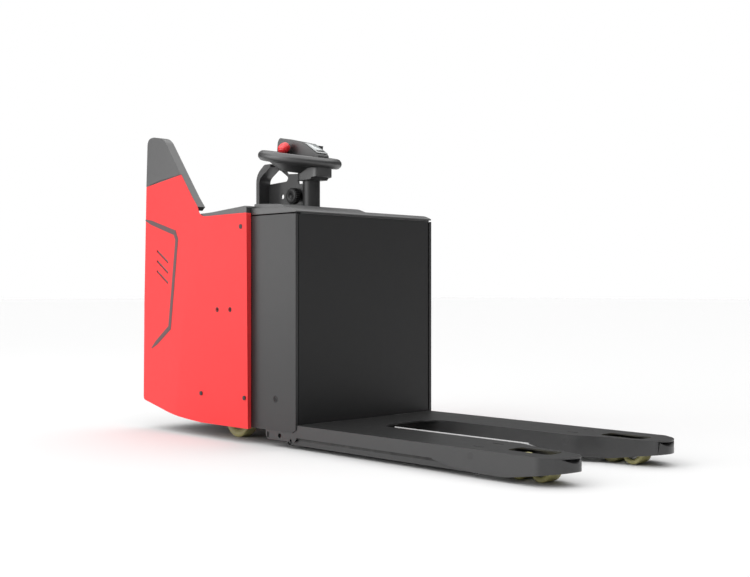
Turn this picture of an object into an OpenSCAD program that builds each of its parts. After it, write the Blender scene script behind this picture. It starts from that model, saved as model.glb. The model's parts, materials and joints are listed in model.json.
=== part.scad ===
// Electric stand-in pallet truck, side stance.
// X runs from the backrest end to the fork tips, Y to the open side, Z up.
// The floor is at Z = 0 and the forks are drawn lowered.

/* [Body] */
// Width over the red side panels
truck_w = 768; // [640:1:930]
// Distance the side panels stand proud of the battery tower
panel_proud = 24; // [18:1:32]
// Length from the tower's front to the rear end of the side panels
body_len = 988; // [900:1:1200]
// Length of the battery tower
tower_len = 258; // [240:1:320]
// Height of the battery tower without its hood
tower_h = 851; // [780:1:1000]
// Height of the backrest wing
wing_h = 1215; // [1120:1:1400]
// Thickness of the side panels' sheet
sheet_t = 3; // [2:0.5:4]
// Height of the operator's floor
floor_h = 152; // [130:1:190]

/* [Forks] */
// Length of the forks in front of the tower
fork_len = 1150; // [900:10:1400]
// Width of one fork
fork_w = 214; // [180:1:240]
// Height of the lowered forks
fork_h = 88; // [84:1:106]
// Thickness of a fork's top plate
fork_top_t = 5; // [4:0.5:6]
// Thickness of a fork's side plates
fork_wall_t = 8; // [6:1:10]
// Lift of the forks
lift_stroke = 120; // [90:5:130]

/* [Wheels] */
// Diameter of the load wheels
load_wheel_d = 78; // [66:1:82]
// Width of the load wheels
load_wheel_w = 66; // [50:1:72]
// Diameter of the drive wheel
drive_wheel_d = 230; // [190:1:250]
// Width of the drive wheel
drive_wheel_w = 75; // [60:1:85]
// Diameter of the castor wheels
castor_d = 150; // [125:1:160]
// Width of the castor wheels
castor_w = 50; // [40:1:60]

/* [Battery and drive] */
// Length, width and height of the battery
battery_size = [206, 640, 600]; // [150:1:700]
// Diameter of the traction motor
motor_d = 144; // [110:1:150]
// Diameter of the steering motor
steer_motor_d = 76; // [60:1:80]
// Teeth of the steering ring gear
ring_teeth = 60; // [48:1:72]
// Teeth of the steering pinion
pinion_teeth = 15; // [13:1:20]
// Gear module
gear_module = 3; // [2.5:0.5:3]

/* [Controls] */
// Diameter of the steering column's outer tube
column_d = 70; // [56:1:76]
// Height adjustment of the steering column
column_stroke = 60; // [40:5:80]
// Diameter over the grip ring of the control head
head_d = 342; // [300:1:380]
// Height of the grip ring above the tower
head_rise = 255; // [235:1:300]
// Tilt of the control head towards the forks
head_tilt = 10; // [5:1:14]
// Diameter of the emergency stop button
estop_d = 52; // [40:1:60]

/* [Fits] */
// Radial clearance of a pin or shaft in its bore
running_fit = 0.05; // [0.03:0.01:0.08]
// Gap between neighbouring pieces that move past each other
play = 0.5; // [0.4:0.1:1]

/* [Hidden] */

$fa = 4;
$fs = 1.5;

// Colours
red_paint = [0.86, 0.13, 0.11];
grey_paint = [0.34, 0.34, 0.35];
black_paint = [0.07, 0.07, 0.075];
dark_plastic = [0.2, 0.2, 0.21];
steel_grey = [0.55, 0.56, 0.58];
olive = [0.42, 0.4, 0.2];

// Stations along X, measured from the tower's front plane
x_mid = (fork_len - body_len) / 2;
cab_x = tower_len + 342;
pillar_y = truck_w / 2 - panel_proud;
pillar_t = 4;
bulkhead_x = -tower_len - 4;
bulkhead_t = 10;
drive_x = bulkhead_x - 168;
castor_x = bulkhead_x - 143;
castor_y = pillar_y - 95;
castor_trail = 30;

// Forks: the right fork is drawn and the left one is its mirror image
fork_y = -(pillar_y - pillar_t);
fork_in = fork_y + fork_w;
fork_c = fork_y + fork_w / 2;
fork_skirt = 45;
pivot_x = fork_len - 331;
pivot_z = fork_h - 22;
pivot_r = 12.5;
bogie_x = fork_len - 165;
bogie_z = load_wheel_d / 2;
wheel_pitch = load_wheel_d + 6;
arm_len = sqrt(pow(bogie_x - pivot_x, 2) + pow(pivot_z - bogie_z, 2));
arm_low = asin((pivot_z - bogie_z) / arm_len);
arm_high = asin((pivot_z - bogie_z + lift_stroke) / arm_len);
arm_swing = arm_high - arm_low;
lever_len = 47;
lever_pin_r = 6;
rod_y = fork_y + fork_wall_t + 2;
rod_t = 12;
rod_h = 18;
rod_eye_r = 15;
crank_x = -70;
axle_r = 9;
bogie_t = 8;
rocker_t = 8;
bogie_y = load_wheel_w / 2 + 1 + bogie_t / 2;
rocker_y = bogie_y + bogie_t / 2 + 1.5 + rocker_t / 2;

// Tower
panel_t = 3;
flange_w = 12;
box_t = 4;
box_rear_x = -tower_len + 20;
box_front_x = -8;
box_y = pillar_y - pillar_t - 2;
box_h = 700;

// Steering gear and drive unit
turntable_z = 342;
ring_pitch_r = gear_module * ring_teeth / 2;
pinion_pitch_r = gear_module * pinion_teeth / 2;
gear_centre = ring_pitch_r + pinion_pitch_r + 0.3;
turntable_r = ring_pitch_r + 14;
turntable_out_r = turntable_r + 18;
pinion_shaft_r = 8;
drive_axle_r = 16;

// Lift cylinders
cylinder_x = bulkhead_x - bulkhead_t - 27;
cylinder_y = 150;
cylinder_r = 24;
rod_r = 15;
cylinder_z = 116;
cylinder_h = 330;
lift_arm_z = cylinder_z + cylinder_h + 74;

// Operator's place
pan_z = 106;
floor_t = 6;

// Steering column and control head
column_x = bulkhead_x - 63;
column_r = column_d / 2;
inner_r = column_r - 6;
column_top = tower_h + 161;
head_x = column_x - 70;
head_z = tower_h + head_rise;
grip_r = 21;
ring_r = head_d / 2 - grip_r;
bar_x = column_x - 317;
bar_t = 20;
bar_w = 60;
knob_x = column_x - 62;
knob_r = 34;
knob_z = tower_h + 104;
bracket_top = head_z - 16;
neck_z = column_top + 4;
spine_y = 30;
spindle_top = head_z - 66;

// Side panel: the fold that turns its rear part inwards
fold_low = [-700, 89];
fold_high = [-611, 878];
fold_angle = 4.85;
body_k = (body_len - 600) / 388;

// Moves an outline's x behind the console with the length of the body
function bx(x) = x > -600 ? x * cab_x / 600 : -cab_x + (x + 600) * body_k;
// Moves an outline's z above the tower with the wing's height
function wz(z) = z < 851 ? z * tower_h / 851 : tower_h + (z - 851) * (wing_h - tower_h) / 364;

// Outline with softened corners: each point is [x, y, length cut back at the corner]
function soft(pts, n = 5) = [
    for (i = [0 : len(pts) - 1])
        let (p = pts[(i + len(pts) - 1) % len(pts)], q = pts[i], r = pts[(i + 1) % len(pts)])
        let (a = [q[0], q[1]], u = [p[0], p[1]] - a, v = [r[0], r[1]] - a)
        if (q[2] > 0)
            for (k = [0 : n])
                let (t = k / n, b = a + u * q[2] / norm(u), c = a + v * q[2] / norm(v))
                (1 - t) * (1 - t) * b + 2 * t * (1 - t) * a + t * t * c
        else
            a
];

module at_centre() {
    translate([-x_mid, 0, 0]) children();
}

// Prism of an XZ outline between two Y values
module xz_prism(y0, y1) {
    translate([0, y1, 0]) rotate([90, 0, 0]) linear_extrude(y1 - y0) children();
}

// Cylinder along Y that starts at y0
module y_cylinder(x, y0, z, r, len) {
    translate([x, y0 + len, z]) rotate([90, 0, 0]) cylinder(h = len, r = r);
}

// Box from one corner to the opposite corner
module block(a, b) {
    translate(a) cube(b - a);
}

// Slot with round ends between two points, as a 2D shape
module stroke(p, q, w) {
    n = 10;
    turn = atan2(q[1] - p[1], q[0] - p[0]);
    polygon([for (e = [[q, -90], [p, 90]], i = [0 : n])
        e[0] + w / 2 * [cos(turn + e[1] + 180 * i / n), sin(turn + e[1] + 180 * i / n)]]);
}

// Band of varying width that follows points [x, y, width], as a 2D shape
module ribbon(pts) {
    last = len(pts) - 1;
    function at(i) = [pts[i][0], pts[i][1]];
    function along(i) = let (d = at(i + 1) - at(i)) d / norm(d);
    function side(i) = let (a = along(max(i - 1, 0)), b = along(min(i, last - 1)), m = (a + b) / (1 + a * b))
        [-m[1], m[0]] * pts[i][2] / 2;
    polygon(concat([for (i = [0 : last]) at(i) + side(i)], [for (i = [last : -1 : 0]) at(i) - side(i)]));
}

// ---------------------------------------------------------------- side panels

function fold_point(p) = [bx(p[0]), wz(p[1])];
fold_a = fold_point(fold_low);
fold_b = fold_point(fold_high);
fold_slope = (fold_b[0] - fold_a[0]) / (fold_b[1] - fold_a[1]);
function fold_x(z) = fold_a[0] + (z - fold_a[1]) * fold_slope;

fold_len = sqrt(1 + fold_slope * fold_slope);

// Point of the bent wall in plan: how far along from the fold, how deep below the outer face
function wall_point(along, depth, z) = along > 0
    ? [fold_x(z) + along, depth - truck_w / 2, z]
    : along < 0
        ? [fold_x(z) + along, (depth - along * sin(fold_angle) / fold_len) / cos(fold_angle) - truck_w / 2, z]
        : [fold_x(z) + depth * tan(fold_angle / 2) * fold_len, depth - truck_w / 2, z];

// Layer of the right side wall between two depths; its rear part is bent inwards at the fold
module side_layer(d0, d1) {
    reach = body_len;
    ends = [-50, wing_h + 200];
    points = [for (z = ends, k = [[reach, d0], [0, d0], [-reach, d0], [-reach, d1], [0, d1], [reach, d1]])
        wall_point(k[0], k[1], z)];
    polyhedron(points, concat([[5, 4, 3, 2, 1, 0], [6, 7, 8, 9, 10, 11]],
        [for (i = [0 : 5]) [i, (i + 1) % 6, (i + 1) % 6 + 6, i + 6]]));
}

panel_foot = [[-246, 56, 0], [-548, 56, 20], [-653, 63, 40], [-760, 74, 40], [-876, 95, 40], [-988, 115, 14]];
panel_top = [[-692, 1040, 0], [-567, 903, 12], [-556, 876, 12], [-530, 864, 10], [-490, 864, 10], [-255, 866, 6]];

function placed(pts) = [for (p = pts) [bx(p[0]), wz(p[1]), p[2]]];

module right_panel_outline() {
    polygon(soft(placed(concat(panel_foot, [[-989, 534, 60], [-979, 1010, 0]], panel_top))));
}

module left_panel_outline() {
    step_x = -590;
    polygon(soft(placed(concat(panel_foot,
        [[-988, floor_h + 8, 12], [step_x, floor_h + 8, 40], [step_x, 864, 40], [-490, 864, 10], [-255, 866, 6]]))));
}

module cap_outline() {
    polygon(soft(placed([[-979.5, 1010.5, 0], [-972, 1209, 26], [-925, 1215, 18], [-850, 1203, 20],
                         [-820, 1184, 10], [-692, 1041, 0], [-860, 1029, 0]])));
}

groove_line = [[-988, 872, 2], [-930, 857, 8], [-737, 808, 9], [-720, 780, 9], [-772, 422, 9], [-880, 357, 8], [-920, 333, 2]];
vent_count = 3;
vent_step = 42;
accessory_hole_r = 5.5;
accessory_pitch = 80;
accessory_at = [-356, 501];
lock_at = [-290, 815];

module side_panel_right() {
    color(red_paint) difference() {
        union() {
            intersection() {
                side_layer(0, sheet_t);
                xz_prism(-truck_w, 0) right_panel_outline();
            }
            // front return that closes the step down to the tower
            intersection() {
                block([bx(-257), -truck_w / 2 + 1, 0], [bx(-254.5), -pillar_y - 2, tower_h + 40]);
                xz_prism(-truck_w, 0) right_panel_outline();
            }
        }
        // engraved styling line
        intersection() {
            side_layer(-1, 1.2);
            xz_prism(-truck_w, 0) ribbon(placed(groove_line));
        }
        // three slanted vents
        xz_prism(-truck_w, -pillar_y + 60)
            for (i = [0 : vent_count - 1])
                stroke(fold_point([-880, 737 - i * vent_step]), fold_point([-792, 689 - i * vent_step]), 9);
        // accessory holes, lock hole and lower bolt hole
        for (i = [0, 1])
            y_cylinder(accessory_at[0] - i * accessory_pitch, -truck_w / 2 - 5, accessory_at[1], accessory_hole_r, 20);
        y_cylinder(lock_at[0], -truck_w / 2 - 5, lock_at[1], 9 + running_fit, 20);
    }
}

module side_panel_left() {
    color(red_paint) mirror([0, 1, 0]) union() {
        intersection() {
            side_layer(0, sheet_t);
            xz_prism(-truck_w, 0) left_panel_outline();
        }
        intersection() {
            block([bx(-257), -truck_w / 2 + 1, 0], [bx(-254.5), -pillar_y - 2, tower_h + 40]);
            xz_prism(-truck_w, 0) left_panel_outline();
        }
    }
}

liner_t = 14;
cap_t = 38;

// Moulded lining of the wing; its head stands over the red sheet as a cap
module wing_liner() {
    color(dark_plastic) union() {
        intersection() {
            side_layer(sheet_t + 0.2, sheet_t + liner_t);
            xz_prism(-truck_w, 0) polygon(soft(placed([[-974, floor_h + 6, 8], [-612, floor_h + 6, 8], [-612, 880, 0],
                [-590, 900, 0], [-705, 1046, 0], [-826, 1170, 0], [-964, 1190, 0]])));
        }
        intersection() {
            side_layer(0, cap_t);
            xz_prism(-truck_w, 0) cap_outline();
        }
        // edge bead that frames the pad along the wing's slope
        intersection() {
            side_layer(sheet_t + 0.2, cap_t);
            xz_prism(-truck_w, 0) polygon(placed_xy([[-568, 904], [-703, 1053], [-724, 1044], [-586, 890]]));
        }
    }
}

function placed_xy(pts) = [for (p = pts) [bx(p[0]), wz(p[1])]];

pad_t = 30;

module backrest_pad() {
    color(dark_plastic) intersection() {
        side_layer(sheet_t + liner_t + 0.5, sheet_t + liner_t + pad_t);
        xz_prism(-truck_w, 0) polygon(soft(placed([[-958, 470, 30], [-640, 470, 30], [-628, 870, 30],
            [-745, 1010, 20], [-955, 996, 24]])));
    }
}

// ---------------------------------------------------------------- chassis

rail_t = 7.5;
shoe_w = 16;
shoe_gap = play;

module drive_frame() {
    wall_y = pillar_y - 18;
    deck_t = 12;
    color(black_paint) union() {
        // bulkhead with windows for the lifting arms
        difference() {
            block([bulkhead_x - bulkhead_t, 9 - pillar_y, 102], [bulkhead_x, pillar_y - 9, tower_h - 60]);
            for (s = [-1, 1])
                translate([bulkhead_x - bulkhead_t - 1, s * cylinder_y - 25, lift_arm_z - 60])
                    cube([bulkhead_t + 2, 50, lift_stroke + 110]);
        }
        // guide rails
        for (s = [-1, 1], e = [-1, 1])
            translate([bulkhead_x, s * (pillar_y - 26) + e * (shoe_w + 2 * shoe_gap + rail_t) / 2 - rail_t / 2, 110])
                cube([16, rail_t, tower_h - 180]);
        // side walls above the castors
        for (s = [-1, 1])
            translate([-cab_x + 8, s * (wall_y - 4) - 4, 214])
                cube([cab_x + bulkhead_x - 8, 8, tower_h - 270]);
        // castor plates
        for (s = [-1, 1])
            difference() {
                translate([castor_x - 80, s * castor_y - 77, 214]) cube([160, 154, 10]);
                translate([castor_x, s * castor_y, 200]) cylinder(h = 40, r = 17 + running_fit);
            }
        // turntable deck
        difference() {
            block([-cab_x + 8, -wall_y, turntable_z - deck_t], [bulkhead_x - bulkhead_t + 2, wall_y, turntable_z]);
            translate([drive_x, 0, turntable_z - deck_t - 1]) cylinder(h = deck_t + 2, r = turntable_r - 8);
            for (s = [-1, 1])
                translate([cylinder_x, s * cylinder_y, turntable_z - deck_t - 1]) cylinder(h = deck_t + 2, r = cylinder_r + 1);
        }
        // rear wall of the drive compartment
        block([-cab_x, -wall_y, pan_z], [-cab_x + 8, wall_y, tower_h - 90]);
        // cylinder feet
        for (s = [-1, 1])
            block([cylinder_x - 30, s * cylinder_y - 30, cylinder_z - 14], [bulkhead_x, s * cylinder_y + 30, cylinder_z]);
        // floor beams
        for (s = [-1, 1])
            block([-body_len + 62, s * (pillar_y - 62) - 10, pan_z + 4], [-cab_x, s * (pillar_y - 62) + 10, pan_z + 24]);
        // brackets that carry the side panels
        for (s = [-1, 1], x = [-cab_x + 60, bulkhead_x - 60], z = [260, 640])
            translate([x - 20, s > 0 ? wall_y - 2 : -truck_w / 2 + sheet_t, z])
                cube([40, truck_w / 2 - sheet_t - wall_y + 2, 30]);
    }
}

module floor_pan() {
    pan_y = pillar_y - 8;
    rear = -body_len + 42;
    front = -cab_x - 2;
    color(black_paint) difference() {
        block([rear, -pan_y, pan_z], [front, pan_y, floor_h - 2]);
        block([rear + 6, -pan_y + 6, pan_z + 4], [front - 6, pan_y - 6, floor_h]);
        // room for the floor beams
        for (s = [-1, 1])
            block([rear + 12, s * (pillar_y - 62) - 12, pan_z + 3], [front + 5, s * (pillar_y - 62) + 12, floor_h]);
    }
}

module floor_plate() {
    pan_y = pillar_y - 8;
    rear = -body_len + 42;
    front = -cab_x - 2;
    color(dark_plastic) block([rear + 7, -pan_y + 7, floor_h - floor_t], [front - 7, pan_y - 7, floor_h]);
}

module console_rear_panel() {
    color(grey_paint) difference() {
        union() {
            block([-cab_x - 4, -pillar_y + 12, floor_h + 4], [-cab_x - 0.5, pillar_y - 8, tower_h + 4]);
            // nose that carries the handle bar
            block([bar_x - 26, -bar_w / 2 - 24, tower_h - 170], [-cab_x - 3.9, bar_w / 2 + 24, tower_h + 4]);
        }
        block([bar_x - 23, -bar_w / 2 - 21, tower_h - 167], [-cab_x + 1, bar_w / 2 + 21, tower_h + 1]);
        block([bar_x - 1, -bar_w / 2 - 1, tower_h - 10], [bar_x + bar_t + 1, bar_w / 2 + 1, tower_h + 10]);
    }
}

cover_t = 4;
cover_y = truck_w / 2 - sheet_t - 1;

// Moulded dash on top of the console
module console_cover() {
    rear = -cab_x - 3;
    front = -tower_len - 2;
    dash = [[rear, tower_h + 4.3, 0], [front, tower_h + 4.3, 0], [front, tower_h + 42, 10],
            [-490 * cab_x / 600, tower_h + 26, 30], [rear, tower_h + 24, 12]];
    color(dark_plastic) difference() {
        union() {
            xz_prism(-cover_y, cover_y) polygon(soft(dash));
            translate([0, 0, tower_h + 4.3]) linear_extrude(19.7)
                polygon(soft([[-cab_x, -bar_w / 2 - 26, 0], [-cab_x, bar_w / 2 + 26, 0],
                              [bar_x - 28, bar_w / 2 + 24, 16], [bar_x - 28, -bar_w / 2 - 24, 16]]));
        }
        block([rear + cover_t, -cover_y + cover_t, tower_h], [front - cover_t, cover_y - cover_t, tower_h + 20]);
        translate([column_x, 0, tower_h]) cylinder(h = 60, r = column_r + 1);
        translate([bar_x, -bar_w / 2 - 1, tower_h]) cube([bar_t + 2, bar_w + 2, 60]);
        block([bar_x - 20, -bar_w / 2 - 16, tower_h], [-cab_x + 12, bar_w / 2 + 16, tower_h + 20]);
        // recess for the key switch
        translate([key_x, key_y, tower_h]) cylinder(h = 60, r = key_r + running_fit);
    }
}

key_x = column_x - 120;
key_y = 190;
key_r = 11;

// Handle bar and web that steady the steering column
module control_bracket() {
    foot = tower_h - 150;
    knee = tower_h + 190;
    bar_in = bar_x + bar_t;
    bar_top = head_z - 7;
    web_top = neck_z + 38;
    strut_x = column_x - 192;
    color(black_paint) difference() {
        union() {
            xz_prism(-bar_w / 2, bar_w / 2) polygon(soft([
                [bar_x, foot, 0], [bar_in, foot, 0], [bar_in, knee, 18],
                [bar_in + 74, bracket_top - 3, 0], [bar_in + 72, bar_top, 0],
                [bar_in + 34, bar_top, 8], [bar_x, knee + 18, 34]]));
            // web plate
            xz_prism(bar_w / 2 - 7, bar_w / 2 - 1) difference() {
                polygon(soft([[bar_x + 6, tower_h + 60, 0], [column_x - 20, tower_h + 60, 0],
                              [column_x - 20, tower_h + 150, 0], [column_x - 104, column_top - 4, 6],
                              [column_x - 112, web_top, 8], [strut_x + 16, web_top + 3, 6],
                              [strut_x, bracket_top - 6, 4], [bar_in + 44, bracket_top - 4, 0],
                              [bar_x + 6, knee + 6, 0]]));
                polygon(soft([[bar_in - 6, knee - 1, 0], [bar_in + 58, bracket_top - 11, 6],
                              [strut_x - 26, bracket_top - 16, 8], [strut_x + 22, tower_h + 192, 9],
                              [strut_x + 12, tower_h + 176, 7], [bar_in - 6, tower_h + 170, 0]]));
            }
            // clamp block on the column
            block([column_x - 100, -22, tower_h + 112], [column_x - 20, bar_w / 2 - 2, column_top - 7]);
            y_cylinder(knob_x, -26, knob_z, 20, bar_w / 2 + 22);
        }
        translate([column_x, 0, tower_h]) cylinder(h = 300, r = column_r + 0.1);
        y_cylinder(column_x - 208, 0, tower_h + 114, 10, bar_w);
        y_cylinder(knob_x, -60, knob_z, 6 + running_fit, 120);
    }
}

module clamp_knob() {
    color(black_paint) difference() {
        union() {
            y_cylinder(knob_x, -58, knob_z, knob_r - 3, 31.5);
            for (a = [0 : 30 : 330])
                y_cylinder(knob_x + (knob_r - 4) * cos(a), -58, knob_z + (knob_r - 4) * sin(a), 4, 31.5);
            y_cylinder(knob_x, -27, knob_z, 6, 48);
        }
        y_cylinder(knob_x, -59, knob_z, 12, 4);
    }
}

module column_tube() {
    foot = tower_h - 190;
    color(black_paint) union() {
        translate([column_x, 0, foot]) difference() {
            cylinder(h = column_top - foot, r = column_r);
            translate([0, 0, 12]) cylinder(h = column_top, r = inner_r + running_fit);
        }
        block([column_x - 60, -60, foot - 10], [bulkhead_x - bulkhead_t, 60, foot]);
    }
}

module column_inner() {
    foot = column_top - 160 - column_stroke;
    color(black_paint) translate([column_x, 0, foot])
        difference() {
            cylinder(h = spindle_top - foot, r = inner_r);
            translate([0, 0, -1]) cylinder(h = spindle_top - 20 - foot, r = inner_r - 5);
        }
}

module power_pack() {
    x0 = -cab_x + 30;
    z0 = turntable_z + 0.2;
    color(steel_grey) union() {
        block([x0, -pillar_y + 40, z0], [x0 + 96, -pillar_y + 210, z0 + 130]);
        translate([x0 + 48, -pillar_y + 90, z0 + 129]) cylinder(h = 30, r = 36);
        translate([x0 + 48, -pillar_y + 90, z0 + 158]) cylinder(h = 150, r = 44);
        translate([x0 + 48, -pillar_y + 180, z0 + 129]) cylinder(h = 22, r = 14);
    }
}

module motor_controller() {
    x0 = -cab_x + 24;
    z0 = turntable_z + 0.2;
    color(dark_plastic) union() {
        block([x0, pillar_y - 230, z0], [x0 + 16, pillar_y - 50, z0 + 200]);
        block([x0 + 16, pillar_y - 220, z0 + 10], [x0 + 70, pillar_y - 60, z0 + 190]);
        for (i = [0 : 3])
            block([x0 + 70, pillar_y - 205 + i * 40, z0 + 30], [x0 + 78, pillar_y - 187 + i * 40, z0 + 60]);
    }
}

module lift_cylinders() {
    color(black_paint) for (s = [-1, 1])
        translate([cylinder_x, s * cylinder_y, cylinder_z]) difference() {
            cylinder(h = cylinder_h, r = cylinder_r);
            translate([0, 0, 12]) cylinder(h = cylinder_h, r = rod_r + running_fit);
        }
}

module turntable_ring() {
    color(steel_grey) translate([drive_x, 0, turntable_z]) difference() {
        cylinder(h = 20, r = turntable_out_r);
        translate([0, 0, -1]) cylinder(h = 22, r = turntable_r + 0.08);
    }
}

module steer_motor() {
    z0 = turntable_z + 44;
    color(black_paint) translate([drive_x, gear_centre, 0]) union() {
        difference() {
            translate([-48, -20, z0]) cube([96, 60, 8]);
            translate([0, 0, z0 - 1]) cylinder(h = 10, r = pinion_shaft_r + 2);
        }
        translate([-48, pinion_pitch_r + 8, turntable_z]) cube([96, 8, 46]);
        translate([0, 0, z0 + 7.9]) difference() {
            cylinder(h = 130, d = steer_motor_d);
            translate([0, 0, -1]) cylinder(h = 40, r = pinion_shaft_r + running_fit);
        }
    }
}

module panel_bolts() {
    color(black_paint) union() {
        // lock cylinder in the right panel
        y_cylinder(lock_at[0], -truck_w / 2 - 1.5, lock_at[1], 9, 24);
        // low bolts of both side panels
        for (s = [-1, 1], x = [bulkhead_x - 4, -cab_x + 60])
            translate([x, s * truck_w / 2, 171]) rotate([s * -90, 0, 0]) cylinder(h = 4, r = 8);
    }
}

// ---------------------------------------------------------------- drive unit

module gear_2d(teeth, m, phase, bore_r) {
    r = m * teeth / 2;
    half = 90 / teeth;
    pts = [
        for (i = [0 : teeth - 1])
            let (a = phase + i * 360 / teeth)
            each [[r - 1.25 * m, a - 1.2 * half], [r, a - 0.8 * half], [r + 0.9 * m, a - 0.36 * half],
                  [r + 0.9 * m, a + 0.36 * half], [r, a + 0.8 * half], [r - 1.25 * m, a + 1.2 * half]]
    ];
    difference() {
        polygon([for (p = pts) p[0] * [cos(p[1]), sin(p[1])]]);
        circle(r = bore_r);
    }
}

hub_r = 40;

module ring_gear() {
    color(steel_grey) translate([drive_x, 0, turntable_z]) union() {
        cylinder(h = 20.2, r = turntable_r);
        translate([0, 0, 20]) linear_extrude(16) gear_2d(ring_teeth, gear_module, 0, hub_r);
    }
}

pinion_phase = 270 - 180 / pinion_teeth;

module steer_pinion() {
    color(steel_grey) translate([drive_x, gear_centre, turntable_z]) union() {
        translate([0, 0, 21]) linear_extrude(14) gear_2d(pinion_teeth, gear_module, pinion_phase, 0);
        translate([0, 0, 21]) cylinder(h = 59, r = pinion_shaft_r);
    }
}

module gearbox() {
    wheel_z = drive_wheel_d / 2;
    side = drive_wheel_w / 2 + 6;
    head_z0 = drive_wheel_d + 10;
    head_z1 = turntable_z - 14;
    color(black_paint) translate([drive_x, 0, 0]) union() {
        // housing beside the wheel
        translate([0, side + 40, 0]) rotate([90, 0, 0]) linear_extrude(40) difference() {
            gearbox_side(wheel_z);
            translate([0, wheel_z]) circle(r = drive_axle_r + running_fit);
        }
        // head above the wheel and neck through the deck
        translate([-78, -side - 14, head_z0]) cube([156, 2 * side + 54, head_z1 - head_z0]);
        translate([0, 0, head_z1 - 1]) cylinder(h = turntable_z - head_z1 + 1, r = turntable_r - 12);
    }
}

module gearbox_side(wheel_z) {
    polygon(soft([[-62, wheel_z - 30, 18], [-30, wheel_z - 58, 20], [30, wheel_z - 58, 20], [62, wheel_z - 30, 18],
                  [78, drive_wheel_d + 20, 10], [-78, drive_wheel_d + 20, 10]]));
}

module traction_motor() {
    z0 = turntable_z + 36.2;
    color(black_paint) translate([drive_x, 0, z0]) union() {
        cylinder(h = 190, d = motor_d);
        cylinder(h = 14, r = ring_pitch_r - 10);
        translate([0, 0, 190]) cylinder(h = 36, d = motor_d * 0.72);
        for (i = [0 : 2])
            rotate(200 + i * 30) translate([motor_d * 0.3, 0, 226]) cylinder(h = 14, r = 5);
    }
}

module drive_hub() {
    half = drive_wheel_w / 2;
    color(steel_grey) translate([drive_x, 0, drive_wheel_d / 2]) rotate([90, 0, 0]) union() {
        translate([0, 0, -half + 3]) difference() {
            cylinder(h = drive_wheel_w - 6, r = drive_wheel_d / 2 - 30);
            translate([0, 0, drive_wheel_w - 24]) cylinder(h = 30, r = drive_wheel_d / 2 - 42);
            for (i = [0 : 5])
                rotate(i * 60) translate([46, 0, -1]) cylinder(h = 100, r = 7);
        }
        translate([0, 0, -half - 40]) cylinder(h = drive_wheel_w, r = drive_axle_r);
    }
}

module drive_tyre() {
    color(olive) translate([drive_x, drive_wheel_w / 2, drive_wheel_d / 2]) rotate([90, 0, 0]) rotate_extrude()
        polygon([[drive_wheel_d / 2 - 30, 3], [drive_wheel_d / 2 - 6, 0], [drive_wheel_d / 2, 6],
                 [drive_wheel_d / 2, drive_wheel_w - 6], [drive_wheel_d / 2 - 6, drive_wheel_w],
                 [drive_wheel_d / 2 - 30, drive_wheel_w - 3]]);
}

// ---------------------------------------------------------------- castors

module castor_fork() {
    y0 = -castor_y;
    axle_z = castor_d / 2;
    crown_z = castor_d + 22;
    color(black_paint) translate([castor_x, y0, 0]) union() {
        translate([0, 0, crown_z + 9.9]) cylinder(h = 214 + 12 - crown_z - 9.9, r = 17);
        translate([0, 0, crown_z + 9.9]) cylinder(h = 214 - play - crown_z - 9.9, r = 38);
        translate([-castor_trail - 26, -castor_w / 2 - 9, crown_z]) cube([castor_trail + 60, castor_w + 18, 10]);
        for (s = [-1, 1])
            translate([0, s * (castor_w / 2 + 6) + 3, 0]) rotate([90, 0, 0]) linear_extrude(6)
                polygon(soft([[-castor_trail - 18, axle_z - 4, 8], [-castor_trail, axle_z - 20, 12], [-castor_trail + 18, axle_z - 4, 8],
                              [34, crown_z + 5, 0], [-castor_trail - 26, crown_z + 5, 0]]));
        translate([-castor_trail, castor_w / 2 + 12, axle_z]) rotate([90, 0, 0]) cylinder(h = castor_w + 24, r = axle_r);
    }
}

module castor_fork_right() { castor_fork(); }
module castor_fork_left() { mirror([0, 1, 0]) castor_fork(); }

module roller(x, y, z, d, w) {
    chamfer = 3;
    color(olive) translate([x, y + w / 2, z]) rotate([90, 0, 0]) rotate_extrude()
        polygon([[axle_r + running_fit, 0], [d / 2 - chamfer, 0], [d / 2, chamfer], [d / 2, w - chamfer],
                 [d / 2 - chamfer, w], [axle_r + running_fit, w]]);
}

module castor_wheel() {
    roller(castor_x - castor_trail, -castor_y, castor_d / 2, castor_d, castor_w);
}

module castor_wheel_right() { castor_wheel(); }
module castor_wheel_left() { mirror([0, 1, 0]) castor_wheel(); }

// ---------------------------------------------------------------- forks

window_w = load_wheel_w + 14;
window_x = [fork_len - 245, fork_len - 84];

module fork_plan() {
    nose = fork_len;
    tip_c = fork_c + 3;
    polygon(soft([[-tower_len + 20, fork_y, 0], [nose - 79, fork_y, 14], [nose - 20, tip_c - 68, 26], [nose, tip_c - 24, 16],
                  [nose, tip_c + 8, 14], [nose - 24, tip_c + 34, 16], [nose - 102, fork_in - 48, 20],
                  [nose - 210, fork_in - 38, 26], [nose - 289, fork_in, 30], [-tower_len + 20, fork_in, 0]]));
}

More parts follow.
